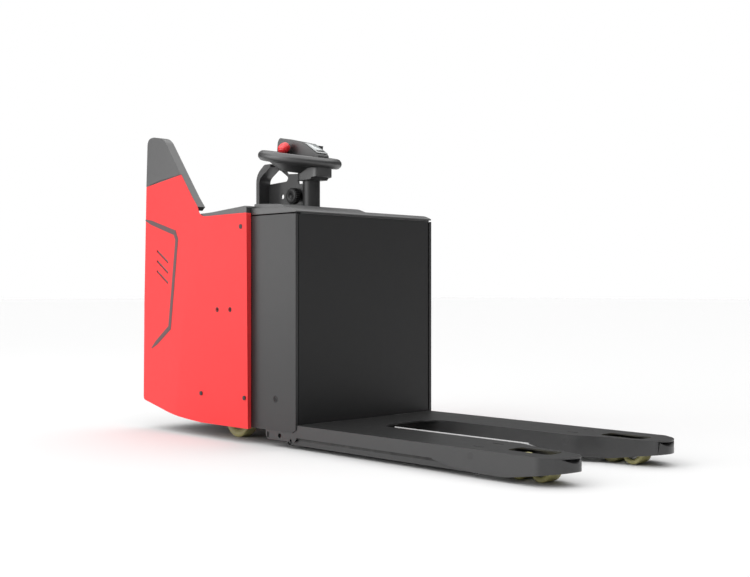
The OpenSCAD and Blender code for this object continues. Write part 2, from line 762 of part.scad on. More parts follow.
module fork() {
    color(black_paint) difference() {
        union() {
            // top plate
            translate([0, 0, fork_h - fork_top_t]) linear_extrude(fork_top_t) fork_plan();
            // side plates follow the plan's edge
            intersection() {
                linear_extrude(fork_h) difference() {
                    fork_plan();
                    offset_plan();
                }
                xz_prism(fork_y - 1, fork_in + 1) fork_side_full();
            }
            // tie under the root of the fork
            block([-tower_len + 22, fork_y + 1, fork_h - 26], [-tower_len + 30, fork_in - 1, fork_h - 1]);
            block([pivot_x - 190, fork_y + 34, fork_h - 30], [pivot_x - 182, fork_in - 1, fork_h - 1]);
        }
        // groove where the fork meets the tower
        block([3, fork_y - 1, fork_h - 0.6], [6, fork_in + 1, fork_h + 1]);
        // opening for the load wheels
        translate([0, 0, fork_h - fork_top_t - 1]) linear_extrude(fork_top_t + 2)
            polygon(soft([[window_x[0], fork_c - window_w / 2, 24], [window_x[1], fork_c - window_w / 2, 24],
                          [window_x[1], fork_c + window_w / 2, 24], [window_x[0], fork_c + window_w / 2, 24]]));
        // grease slots over the pivot
        for (s = [-1, 1])
            translate([pivot_x - 15, fork_c + s * 47, fork_h - fork_top_t - 1]) linear_extrude(fork_top_t + 2) stroke([-18, 0], [18, 0], 9);
        // bore for the rocker's shaft
        y_cylinder(pivot_x, fork_y - 1, pivot_z, pivot_r + running_fit, fork_w + 2);
        // slot and pin hole in the heel plate, bore for the crank
        translate([0, fork_y - 1, 0]) {
            translate([-157, 0, 42]) cube([18, fork_wall_t + 2, 20], center = true);
            y_cylinder(-95, -1, 43, 9, fork_wall_t + 3);
        }
        y_cylinder(crank_x, fork_y - 1, pivot_z, 10 + running_fit, fork_w + 2);
        // slot above the pull rod's eyes
        y_cylinder(-32, fork_y - 1, 30, 6, fork_wall_t + 2);
    }
}

// Plan of the space between the side plates
module offset_plan() {
    nose = fork_len;
    w = fork_wall_t;
    tip_c = fork_c + 3;
    polygon(soft([[-tower_len, fork_y + w, 0], [nose - 84, fork_y + w, 10], [nose - 34, tip_c - 62, 12], [nose - 20, tip_c - 20, 10],
                  [nose - 20, tip_c + 6, 8], [nose - 36, tip_c + 26, 10], [nose - 104, fork_in - 48 - w, 12],
                  [nose - 212, fork_in - 38 - w, 20], [nose - 292, fork_in - w, 20], [-tower_len, fork_in - w, 0]]));
}

// Side view that both side plates and the nose are cut to
module fork_side_full() {
    nose = fork_len;
    polygon([[0, fork_h - fork_skirt], [nose - 490, fork_h - fork_skirt], [nose - 488, 39], [nose - 393, 22], [nose - 296, 16],
             [nose - 189, 17], [nose - 84, 33], [nose, 44], [nose, 68], [nose - 30, fork_h], [-tower_len + 20, fork_h],
             [-tower_len + 20, 60], [-175, 60], [-175, 40], [-165, 26], [-12, 26], [0, 40]]);
}

module fork_right() { fork(); }
module fork_left() { mirror([0, 1, 0]) fork(); }

module fork_bridge() {
    reach = 200;
    fillet = 67;
    color(black_paint) translate([0, 0, fork_h - fork_top_t]) linear_extrude(fork_top_t) difference() {
        polygon([[-tower_len + 22, fork_in], [reach + fillet, fork_in], [reach + fillet, -fork_in], [-tower_len + 22, -fork_in]]);
        translate([reach + fillet, -fork_in - fillet]) circle(r = fillet);
        translate([reach + fillet, fork_in + fillet]) circle(r = fillet);
        translate([reach, fork_in + fillet]) square([fillet + 1, -2 * (fork_in + fillet)]);
    }
}

module rocker() {
    color(black_paint) translate([pivot_x, 0, pivot_z]) union() {
        // shaft across the fork
        translate([0, fork_in, 0]) rotate([90, 0, 0]) cylinder(h = fork_w, r = pivot_r);
        // arms beside the wheels
        for (s = [-1, 1])
            translate([0, fork_c + s * rocker_y + rocker_t / 2, 0]) rotate([90, 0, 0]) linear_extrude(rocker_t) difference() {
                stroke([0, 0], [bogie_x - pivot_x, bogie_z - pivot_z], 30);
                translate([bogie_x - pivot_x, bogie_z - pivot_z]) circle(r = axle_r + running_fit);
            }
        // lever for the pull rod
        translate([0, rod_y + rod_t + 10, 0]) rotate([90, 0, 0]) linear_extrude(9)
            stroke([0, 0], lever_len * [sin(arm_swing / 2), -cos(arm_swing / 2)], 22);
        translate([lever_len * sin(arm_swing / 2), rod_y + rod_t + 2, -lever_len * cos(arm_swing / 2)])
            rotate([90, 0, 0]) cylinder(h = rod_t + 1, r = lever_pin_r);
    }
}

module rocker_right() { rocker(); }
module rocker_left() { mirror([0, 1, 0]) rocker(); }

module bogie() {
    color(black_paint) translate([bogie_x, fork_c, bogie_z]) union() {
        for (s = [-1, 1])
            translate([0, s * bogie_y + bogie_t / 2, 0]) rotate([90, 0, 0]) linear_extrude(bogie_t)
                stroke([-wheel_pitch / 2, 0], [wheel_pitch / 2, 0], 30);
        for (x = [-wheel_pitch / 2, wheel_pitch / 2])
            y_cylinder(x, -bogie_y, 0, axle_r, 2 * bogie_y);
        // stubs that turn in the rocker's arms
        for (s = [-1, 1])
            y_cylinder(0, s > 0 ? bogie_y : -rocker_y - rocker_t / 2, 0, axle_r, rocker_y + rocker_t / 2 - bogie_y);
    }
}

module bogie_right() { bogie(); }
module bogie_left() { mirror([0, 1, 0]) bogie(); }

module load_wheel(end) {
    roller(bogie_x + end * wheel_pitch / 2, fork_c, bogie_z, load_wheel_d, load_wheel_w);
}

module load_wheel_front_right() { load_wheel(1); }
module load_wheel_rear_right() { load_wheel(-1); }
module load_wheel_front_left() { mirror([0, 1, 0]) load_wheel(1); }
module load_wheel_rear_left() { mirror([0, 1, 0]) load_wheel(-1); }

module crank() {
    color(black_paint) translate([crank_x, 0, pivot_z]) union() {
        translate([0, fork_y + 60, 0]) rotate([90, 0, 0]) cylinder(h = 60, r = 10);
        translate([0, rod_y + rod_t + 10, 0]) rotate([90, 0, 0]) linear_extrude(9)
            stroke([0, 0], lever_len * [sin(arm_swing / 2), -cos(arm_swing / 2)], 22);
        translate([lever_len * sin(arm_swing / 2), rod_y + rod_t + 2, -lever_len * cos(arm_swing / 2)])
            rotate([90, 0, 0]) cylinder(h = rod_t + 1, r = lever_pin_r);
    }
}

module crank_right() { crank(); }
module crank_left() { mirror([0, 1, 0]) crank(); }

eye_bore_r = 11;

module pull_rod() {
    end_x = lever_len * sin(arm_swing / 2);
    z = pivot_z - lever_len * cos(arm_swing / 2);
    color(black_paint) translate([0, rod_y + rod_t, 0]) rotate([90, 0, 0]) linear_extrude(rod_t) difference() {
        union() {
            translate([crank_x + end_x, z - rod_h / 2]) square([pivot_x - crank_x, rod_h]);
            for (x = [crank_x, pivot_x])
                translate([x + end_x, z]) circle(r = rod_eye_r);
        }
        for (x = [crank_x, pivot_x])
            translate([x + end_x, z]) circle(r = eye_bore_r);
    }
}

module pull_rod_right() { pull_rod(); }
module pull_rod_left() { mirror([0, 1, 0]) pull_rod(); }

// ---------------------------------------------------------------- tower

module pillar() {
    color(grey_paint) union() {
        intersection() {
            block([-tower_len, -pillar_y, 60], [0, -pillar_y + pillar_t, tower_h + 20]);
            xz_prism(-pillar_y - 1, 0) polygon([[-tower_len, 64], [-tower_len + 6, 60], [-20, 60], [0, 72], [0, tower_h],
                [-40, tower_h + 1.5], [-tower_len, tower_h + 1.5]]);
        }
        block([-pillar_t, -pillar_y, fork_h + 0.2], [0, -pillar_y + flange_w, tower_h]);
    }
}

pillar_bolt_at = [-114, 176];

module pillar_right() {
    difference() {
        pillar();
        y_cylinder(pillar_bolt_at[0], -pillar_y - 2, pillar_bolt_at[1], 9, 10);
    }
}

module pillar_left() { mirror([0, 1, 0]) pillar_right(); }

module front_panel() {
    edge = pillar_y - flange_w - 5;
    color(black_paint) block([-2 - panel_t, -edge, fork_h + 0.2], [-2, edge, tower_h]);
}

module battery_box() {
    z0 = fork_h;
    rear = box_rear_x;
    color(black_paint) union() {
        difference() {
            block([rear, -box_y, z0], [box_front_x, box_y, z0 + box_h]);
            block([rear + box_t, -box_y + box_t, z0 + box_t], [box_front_x - box_t, box_y - box_t, z0 + box_h + 1]);
        }
        // guide shoes that run in the rails
        for (s = [-1, 1], z = [150, 560])
            translate([bulkhead_x + 1, s * (pillar_y - 26) - shoe_w / 2, z]) cube([rear - bulkhead_x - 1, shoe_w, 70]);
        // arms that sit on the piston rods
        for (s = [-1, 1])
            block([cylinder_x - 20, s * cylinder_y - 12, lift_arm_z], [rear, s * cylinder_y + 12, lift_arm_z + 26]);
        // posts that stiffen the front panel and carry the hood
        for (s = [-1, 1])
            block([box_front_x - 0.1, s * (box_y - 20) - 10, z0], [-2 - panel_t - 0.1, s * (box_y - 20) + 10, tower_h - 4]);
    }
}

module battery() {
    size = battery_size;
    x0 = (box_rear_x + box_front_x) / 2 - size[0] / 2;
    color(steel_grey) union() {
        translate([x0, -size[1] / 2, fork_h + box_t + 0.2]) cube([size[0], size[1], size[2]]);
        for (s = [-1, 1])
            translate([x0 + size[0] / 2, s * (size[1] / 2 - 70), fork_h + box_t + size[2]]) cylinder(h = 24, r = 12);
        translate([x0 + 30, -50, fork_h + box_t + size[2]]) cube([size[0] - 60, 100, 40]);
    }
}

module piston_rods() {
    color([0.8, 0.8, 0.82]) for (s = [-1, 1])
        translate([cylinder_x, s * cylinder_y, cylinder_z + 20]) cylinder(h = lift_arm_z - cylinder_z - 20, r = rod_r);
}

hinge_at = [-2.5, tower_h + 2.8];

module hood_hinge() {
    color(steel_grey) y_cylinder(hinge_at[0], -pillar_y + 24, hinge_at[1], 2.3, 2 * (pillar_y - 24));
}

hood_gap = 5.6;

// Moulded battery hood with a raised console on its right part
module battery_hood() {
    z0 = tower_h + hood_gap;
    rear = -tower_len + 2;
    step_y = 60;
    color(dark_plastic) difference() {
        union() {
            xz_prism(-pillar_y, pillar_y) polygon(soft([[rear, z0, 0], [0, z0, 0], [0, z0 + 6, 4],
                [-36, z0 + 20, 18], [rear, z0 + 25, 0]]));
            xz_prism(-pillar_y + 14, step_y) polygon(soft([[rear, z0 + 20, 0], [-60, z0 + 18, 0],
                [-110, z0 + 36, 16], [rear, z0 + 43, 4]]));
        }
        block([rear + cover_t, -pillar_y + cover_t, z0 - 1], [-22, pillar_y - cover_t, z0 + 9]);
        block([rear + cover_t, -pillar_y + cover_t, z0 - 1], [-60, pillar_y - cover_t, z0 + 14]);
    }
}

// ---------------------------------------------------------------- control head

module tilted() {
    translate([head_x, 0, head_z]) rotate([0, head_tilt, 0]) children();
}

module grip_torus(extra) {
    rotate_extrude() translate([ring_r, 0]) circle(r = grip_r + extra);
}

module grip_ring() {
    color(black_paint) tilted() grip_torus(0);
}

shell_x = -72;
shell_top = 10;
estop_at = [-36, -35.4, 16.9];
estop_lean = 50;
horn_at = [42, -86];
lift_at = [-14, 84];
throttle_at = [62, 36];
stem_r = 8;
horn_r = 9;
pin_r = 2.5;

// Place of the emergency stop, which leans to the near side of the head
module at_estop() {
    translate(estop_at) rotate([estop_lean, 0, 0]) children();
}

module head_shell() {
    color(dark_plastic) difference() {
        union() {
            tilted() {
                // plate and pan inside the ring, open behind as a hand grip
                intersection() {
                    union() {
                        translate([0, 0, -20]) cylinder(h = 20 + shell_top, r = ring_r - 5);
                        translate([0, 0, -52]) cylinder(h = 32.1, r1 = 80, r2 = 125);
                    }
                    translate([shell_x, -200, -100]) cube([400, 400, 200]);
                }
                // spine
                xz_prism(-spine_y, spine_y) polygon(soft([[-112, -18, 12], [-118, 60, 10], [-108, 78, 8],
                    [43, 71, 16], [138, 34, 12], [146, 4, 0], [126, 4, 0], [60, -18, 0]]));
                // collar of the emergency stop and cheeks of the lift rocker
                at_estop() translate([0, 0, -14]) cylinder(h = 28, r = 18);
                for (s = [-1, 1])
                    translate([lift_at[0] - 6, lift_at[1] + s * 13 - 2.5, shell_top - 1]) cube([12, 5, 18]);
                y_cylinder(lift_at[0], lift_at[1] - 13, shell_top + 11, pin_r, 26);
                // pivot of the throttle
                y_cylinder(throttle_at[0], spine_y - 1, throttle_at[1], 4, 38);
            }
            // neck that turns on the inner column
            translate([0, 0, neck_z]) linear_extrude(head_z - 44 - neck_z)
                polygon(soft([[column_x - 46, -46, 30], [column_x + 85, -46, 26],
                              [column_x + 85, 46, 26], [column_x - 46, 46, 30]]));
        }
        tilted() {
            grip_torus(0.1);
            // seats of the emergency stop and the horn button
            at_estop() translate([0, 0, -12]) cylinder(h = 60, r = stem_r + running_fit);
            translate([horn_at[0], horn_at[1], shell_top - 8]) cylinder(h = 20, r = horn_r + play / 2);
        }
        translate([column_x, 0, neck_z - 1]) cylinder(h = spindle_top - neck_z + 1, r = inner_r + running_fit);
        xz_prism(-60, 60) polygon([[column_x + 44, neck_z - 1], [column_x + 52, neck_z + 8],
                                   [column_x + 90, neck_z + 12], [column_x + 90, neck_z - 1]]);
    }
}

module estop_button() {
    color(red_paint) tilted() at_estop() union() {
        translate([0, 0, -4]) cylinder(h = 26, r = stem_r);
        translate([0, 0, 20]) cylinder(h = 8, r1 = estop_d / 2 - 6, r2 = estop_d / 2);
        translate([0, 0, 28]) cylinder(h = 14, r = estop_d / 2);
        translate([0, 0, 42]) cylinder(h = 8, r1 = estop_d / 2, r2 = estop_d / 2 - 8);
    }
}

module display_cover() {
    color(steel_grey) tilted() xz_prism(-spine_y + 3, spine_y - 3)
        polygon([[50, 68.6], [53, 70.6], [134, 39], [132.6, 36.4]]);
}

module throttle() {
    color(black_paint) tilted() difference() {
        union() {
            y_cylinder(throttle_at[0], spine_y + play, throttle_at[1], 13, 32);
            translate([throttle_at[0] - 5, spine_y + 4, throttle_at[1] + 8]) cube([10, 24, 22]);
        }
        y_cylinder(throttle_at[0], spine_y, throttle_at[1], 4 + running_fit, 60);
    }
}

module horn_button() {
    color(grey_paint) tilted() translate([horn_at[0], horn_at[1], shell_top - 4]) cylinder(h = 12, r = horn_r);
}

module lift_rocker() {
    color(grey_paint) tilted() translate([lift_at[0], lift_at[1], shell_top + 11]) difference() {
        xz_prism(-10, 10) polygon([[-22, 2], [-22, 7], [0, 4], [22, 7], [22, 2], [0, -6]]);
        y_cylinder(0, -20, 0, pin_r + running_fit, 40);
    }
}

module key_switch() {
    color(black_paint) translate([key_x, key_y, tower_h + 10]) union() {
        cylinder(h = 40, r = key_r);
        translate([-9, -2, 40]) cube([18, 4, 16]);
    }
}

at_centre() drive_frame();
at_centre() side_panel_right();
at_centre() side_panel_left();
at_centre() wing_liner();
at_centre() backrest_pad();
at_centre() console_cover();
at_centre() console_rear_panel();
at_centre() floor_pan();
at_centre() control_bracket();
at_centre() column_tube();
at_centre() power_pack();
at_centre() lift_cylinders();
at_centre() motor_controller();
at_centre() steer_motor();
at_centre() turntable_ring();
at_centre() panel_bolts();
at_centre() fork_right();
at_centre() fork_left();
at_centre() fork_bridge();
at_centre() battery_box();
at_centre() front_panel();
at_centre() pillar_right();
at_centre() pillar_left();
at_centre() battery();
at_centre() piston_rods();
at_centre() hood_hinge();
at_centre() gearbox();
at_centre() traction_motor();
at_centre() ring_gear();
at_centre() drive_hub();
at_centre() drive_tyre();
at_centre() steer_pinion();
at_centre() castor_fork_right();
at_centre() castor_fork_left();
at_centre() castor_wheel_right();
at_centre() castor_wheel_left();
at_centre() rocker_right();
at_centre() rocker_left();
at_centre() bogie_right();
at_centre() bogie_left();
at_centre() load_wheel_front_right();
at_centre() load_wheel_rear_right();
at_centre() load_wheel_front_left();
at_centre() load_wheel_rear_left();
at_centre() crank_right();
at_centre() crank_left();
at_centre() pull_rod_right();
at_centre() pull_rod_left();
at_centre() battery_hood();
at_centre() floor_plate();
at_centre() column_inner();
at_centre() head_shell();
at_centre() display_cover();
at_centre() grip_ring();
at_centre() estop_button();
at_centre() throttle();
at_centre() horn_button();
at_centre() lift_rocker();
at_centre() key_switch();
at_centre() clamp_knob();
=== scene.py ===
"""Electric pallet truck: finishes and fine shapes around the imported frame."""
import json
import math

import bmesh
import bpy
from bpy.props import FloatProperty, FloatVectorProperty, IntProperty, PointerProperty
from mathutils import Matrix, Vector
from mathutils.bvhtree import BVHTree


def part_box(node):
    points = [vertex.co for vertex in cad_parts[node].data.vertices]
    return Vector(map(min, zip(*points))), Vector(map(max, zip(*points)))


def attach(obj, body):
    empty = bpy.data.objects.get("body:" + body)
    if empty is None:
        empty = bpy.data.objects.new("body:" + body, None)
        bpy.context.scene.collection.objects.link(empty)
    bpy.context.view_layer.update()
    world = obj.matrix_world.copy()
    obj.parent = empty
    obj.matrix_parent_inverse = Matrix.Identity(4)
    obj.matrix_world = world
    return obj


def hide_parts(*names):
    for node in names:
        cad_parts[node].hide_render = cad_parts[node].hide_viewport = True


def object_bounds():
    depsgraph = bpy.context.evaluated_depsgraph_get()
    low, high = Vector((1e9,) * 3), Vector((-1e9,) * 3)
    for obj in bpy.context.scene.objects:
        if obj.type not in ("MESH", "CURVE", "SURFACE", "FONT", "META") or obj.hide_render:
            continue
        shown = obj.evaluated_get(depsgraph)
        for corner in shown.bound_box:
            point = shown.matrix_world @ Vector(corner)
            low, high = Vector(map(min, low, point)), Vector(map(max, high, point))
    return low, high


bl_info = {
    "name": "Electric Pallet Truck",
    "version": (1, 0, 0),
    "blender": (4, 5, 0),
    "location": "View3D > Sidebar > Truck",
    "description": "Builds the finishes and fine shapes of a stand-in pallet truck",
    "category": "Object",
}

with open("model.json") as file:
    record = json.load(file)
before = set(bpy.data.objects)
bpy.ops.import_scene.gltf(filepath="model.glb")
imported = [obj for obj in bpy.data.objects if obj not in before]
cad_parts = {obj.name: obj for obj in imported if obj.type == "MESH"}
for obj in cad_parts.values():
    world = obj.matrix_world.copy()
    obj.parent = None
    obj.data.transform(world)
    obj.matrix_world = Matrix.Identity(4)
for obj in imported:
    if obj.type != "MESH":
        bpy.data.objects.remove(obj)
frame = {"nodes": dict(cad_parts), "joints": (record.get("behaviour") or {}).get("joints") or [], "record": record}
CAD_BOX = [list(corner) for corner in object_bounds()]
NODES = frame["nodes"]
BODY = {name: body for body, members in frame["record"]["behaviour"]["bodies"].items()
        for name in members}
SLOT = {s["node"]: s["material_slot"] for s in frame["record"]["subparts"]}
JOINTS = {j["name"]: j for j in frame["joints"]}

# Places in the control head from the centre of its grip ring: ahead, to the entry side, up
STOP_SEAT, STOP_LEAN = (-0.036, -0.0354, 0.0169), 50
HORN_SEAT = (0.042, -0.086, 0.006)
DISPLAY_TOP, DISPLAY_FOOT = (0.053, 0, 0.0706), (0.134, 0, 0.039)
GRIP_BAR = 0.021  # radius of the ring's bar

GROOVE_SHADE_SPREAD = 2.3  # width of the dark strip of painted groove shade, over the groove's
GROOVE_SHADE_PROUD = 0.0022
WHEEL_PIN = 0.00915  # bore of the wheels' hubs
PILLAR_BOLT = (0.114, 0.176)  # behind the tower's front, above the floor
ACCESSORY_HOLES = ((-0.437, 0.5), (-0.356, 0.501))  # from the front panel, above the floor


# ------------------------------------------------------------------ settings

def colour_prop(name, description, value):
    return FloatVectorProperty(name=name, description=description, default=value, size=3, min=0, max=1,
                               subtype="COLOR")


def length_prop(name, description, value):
    return FloatProperty(name=name, description=description, default=value, min=0, unit="LENGTH", subtype="DISTANCE")


class TruckColours(bpy.types.PropertyGroup):
    red: colour_prop("Red paint", "Colour of the side panels", (0.76, 0.040, 0.042))
    stop_red: colour_prop("Stop red", "Colour of the emergency stop", (0.72, 0.02, 0.025))
    grey: colour_prop("Grey paint", "Colour of the pillars beside the battery", (0.030, 0.030, 0.0305))
    black: colour_prop("Black paint", "Colour of the frame and the forks", (0.014, 0.014, 0.0145))
    moulded: colour_prop("Moulded grey", "Colour of the hood, the dash and the wing's cap", (0.026, 0.026, 0.0265))
    tyre: colour_prop("Polyurethane", "Colour of the wheels' tread", (0.40, 0.37, 0.15))
    pad: colour_prop("Pad leather", "Colour of the backrest pad", (0.03, 0.03, 0.032))


class TruckSizes(bpy.types.PropertyGroup):
    sheet_edge: length_prop("Sheet edge", "Rounding of cut sheet edges", 0.0007)
    plate_edge: length_prop("Plate edge", "Rounding of plates and welded parts", 0.0015)
    moulded_edge: length_prop("Moulded edge", "Rounding of moulded covers", 0.0035)
    pad_swell: length_prop("Pad swell", "Most that the pad's foam may stand out", 0.009)
    stitch_pitch: length_prop("Stitch pitch", "Distance between two stitches", 0.007)
    stud_pitch: length_prop("Stud pitch", "Distance between two studs of the floor mat", 0.026)
    stud_radius: length_prop("Stud radius", "Radius of one stud of the floor mat", 0.0085)
    knob_ribs: IntProperty(name="Knob ribs", description="Ribs around the clamp knob", default=24, min=6, max=60)


def colours():
    return bpy.context.scene.truck_colours


def sizes():
    return bpy.context.scene.truck_sizes


# ------------------------------------------------------------------ shader groups

def made_once(build):
    """A node group is built when it is first asked for, and found by its name after that."""
    def found():
        return bpy.data.node_groups.get(build.__name__) or build(build.__name__)
    return found


def new_tree(name, kind, inputs, outputs):
    """Node group with its sockets: inputs are (label, kind, value), outputs are (label, kind)."""
    tree = bpy.data.node_groups.new(name, kind)
    for label, socket_kind, value in inputs:
        socket = tree.interface.new_socket(label, in_out="INPUT", socket_type="NodeSocket" + socket_kind)
        if value is not None:
            socket.default_value = value
    for label, socket_kind in outputs:
        tree.interface.new_socket(label, in_out="OUTPUT", socket_type="NodeSocket" + socket_kind)
    return tree, tree.nodes.new("NodeGroupInput"), tree.nodes.new("NodeGroupOutput")


def node(tree, kind, links=None, **values):
    """Adds a node; values are set on it or on its sockets, links join sockets to others."""
    made = tree.nodes.new(kind)
    for key, value in values.items():
        if hasattr(made, key):
            setattr(made, key, value)
        else:
            made.inputs[key.replace("_", " ")].default_value = value
    for key, source in (links or {}).items():
        tree.links.new(source, made.inputs[key])
    return made


def feed(tree, socket, value):
    """Links a socket to another socket, or sets it to a plain value."""
    if hasattr(value, "is_linked"):
        tree.links.new(value, socket)
    else:
        socket.default_value = value


def calc(tree, operation, *terms, clamp=False):
    """Math node on sockets or plain numbers; returns its output."""
    made = node(tree, "ShaderNodeMath", operation=operation, use_clamp=clamp)
    for socket, term in zip(made.inputs, terms):
        feed(tree, socket, term)
    return made.outputs[0]


def noise(tree, place, scale, detail):
    return node(tree, "ShaderNodeTexNoise", {"Vector": place}, Scale=scale, Detail=detail).outputs[0]


def remap(tree, value, **ends):
    """Maps a value from or to the ends given."""
    return node(tree, "ShaderNodeMapRange", {"Value": value}, **ends).outputs[0]


@made_once
def fine_grain(name):
    """Fine moulded or leather grain as a normal, with a mask of its cells."""
    tree, given, out = new_tree(
        name, "ShaderNodeTree",
        [("Vector", "Vector", None), ("Scale", "Float", 900.0), ("Depth", "Float", 0.0002), ("Cells", "Float", 0.5)],
        [("Normal", "Vector"), ("Mask", "Float")])
    at = {key: given.outputs[key] for key in ("Vector", "Scale")}
    cells = node(tree, "ShaderNodeTexVoronoi", at, feature="SMOOTH_F1")
    specks = node(tree, "ShaderNodeTexNoise", at, Detail=3.0)
    mixed = node(tree, "ShaderNodeMix",
                 {0: given.outputs["Cells"], 2: specks.outputs[0], 3: cells.outputs["Distance"]}).outputs[0]
    bump = node(tree, "ShaderNodeBump", {"Height": mixed, "Distance": given.outputs["Depth"]}, Strength=0.8)
    tree.links.new(bump.outputs[0], out.inputs["Normal"])
    tree.links.new(mixed, out.inputs["Mask"])
    return tree


def mask_tree(name, extent, amount, reach):
    return new_tree(name, "ShaderNodeTree", [("Vector", "Vector", None), ("Amount", "Float", amount),
                                             (extent, "Float", reach)], [("Mask", "Float")])


def end_mask(tree, given, out, shape, patches):
    """Ends a mask's tree: its shape, broken into patches, times its amount."""
    broken = calc(tree, "MULTIPLY", shape, patches)
    tree.links.new(calc(tree, "MULTIPLY", broken, given.outputs["Amount"], clamp=True), out.inputs["Mask"])
    return tree


@made_once
def floor_dust(name):
    """Mask of dust and scuffs: low on the machine and on faces that look up."""
    tree, given, out = mask_tree(name, "Reach", 0.3, 0.25)
    height = node(tree, "ShaderNodeSeparateXYZ", {0: given.outputs["Vector"]}).outputs[2]
    low = calc(tree, "SUBTRACT", 1.0, calc(tree, "DIVIDE", height, given.outputs["Reach"]), clamp=True)
    normal = node(tree, "ShaderNodeNewGeometry").outputs["Normal"]
    up = calc(tree, "MULTIPLY", node(tree, "ShaderNodeSeparateXYZ", {0: normal}).outputs[2], 0.35, clamp=True)
    patches = remap(tree, noise(tree, given.outputs["Vector"], 26.0, 6.0), From_Min=0.38, From_Max=0.72)
    return end_mask(tree, given, out, calc(tree, "ADD", low, up, clamp=True), patches)


@made_once
def edge_wear(name):
    """Mask of rubbed edges, broken up by a fine noise."""
    tree, given, out = mask_tree(name, "Width", 0.4, 0.002)
    bevel = node(tree, "ShaderNodeBevel", {"Radius": given.outputs["Width"]}, samples=4).outputs[0]
    normal = node(tree, "ShaderNodeNewGeometry").outputs["Normal"]
    dot = node(tree, "ShaderNodeVectorMath", {0: bevel, 1: normal}, operation="DOT_PRODUCT").outputs["Value"]
    patches = remap(tree, noise(tree, given.outputs["Vector"], 70.0, 8.0), From_Min=0.48, From_Max=0.66)
    return end_mask(tree, given, out, remap(tree, dot, From_Min=0.99, From_Max=0.86), patches)


def place_group(tree, made, place, **values):
    placed_node = tree.nodes.new("ShaderNodeGroup")
    placed_node.node_tree = made
    for key, value in {"Vector": place, **values}.items():
        feed(tree, placed_node.inputs[key], value)
    return placed_node


def mix_colour(tree, mask, first, second):
    """Mixes two colours, each a plain colour or a socket, by a mask."""
    mixed = node(tree, "ShaderNodeMix", data_type="RGBA")
    tree.links.new(mask, mixed.inputs[0])
    for index, value in ((6, first), (7, second)):
        feed(tree, mixed.inputs[index], value if hasattr(value, "is_linked") else (*value, 1.0))
    return mixed.outputs[2]


def shade(colour, factor):
    return tuple(min(1.0, c * factor) for c in colour)


def finish(name, colour, rough, grain, depth, drift, rough_spread=0.06, cells=0.0, dust=0.0, wear=0.0,
           wear_colour=(0.32, 0.32, 0.33), dust_colour=(0.32, 0.3, 0.27), metallic=0.0, specular=0.5, coat=0.0,
           sheen=0.0, cell_colour=0.0, brushed=False):
    """A complete procedural finish; returns the material, made once.

    The imported CAD nodes bring plain materials named after the slots, so the finishes have names of their own.
    """
    label = "finish_" + name
    if label in bpy.data.materials:
        return bpy.data.materials[label]
    material = bpy.data.materials.new(label)
    material.use_nodes = True
    tree = material.node_tree
    shader = tree.nodes["Principled BSDF"]
    for key, value in {"Metallic": metallic, "Specular IOR Level": specular, "Coat Weight": coat,
                       "Coat Roughness": 0.1, "Sheen Weight": sheen}.items():
        shader.inputs[key].default_value = value
    place = tree.nodes.new("ShaderNodeTexCoord").outputs["Object"]
    if brushed:
        place = node(tree, "ShaderNodeMapping", {"Vector": place}, Scale=(1.0, 14.0, 1.0)).outputs[0]
    skin = place_group(tree, fine_grain(), place, Scale=grain, Depth=depth, Cells=cells)
    tree.links.new(skin.outputs["Normal"], shader.inputs["Normal"])
    base = mix_colour(tree, noise(tree, place, 7.0, 4.0), shade(colour, 1 - drift), shade(colour, 1 + drift))
    if cell_colour:
        base = mix_colour(tree, skin.outputs["Mask"], shade(colour, 1 - cell_colour), base)
    for mask, amount, tint in ((floor_dust, dust, dust_colour), (edge_wear, wear, wear_colour)):
        if amount:
            base = mix_colour(tree, place_group(tree, mask(), place, Amount=amount).outputs[0], base, tint)
    tree.links.new(base, shader.inputs["Base Color"])
    gloss = remap(tree, noise(tree, place, 38.0, 5.0), To_Min=max(0.03, rough - rough_spread),
                  To_Max=min(1.0, rough + rough_spread))
    tree.links.new(gloss, shader.inputs["Roughness"])
    return material


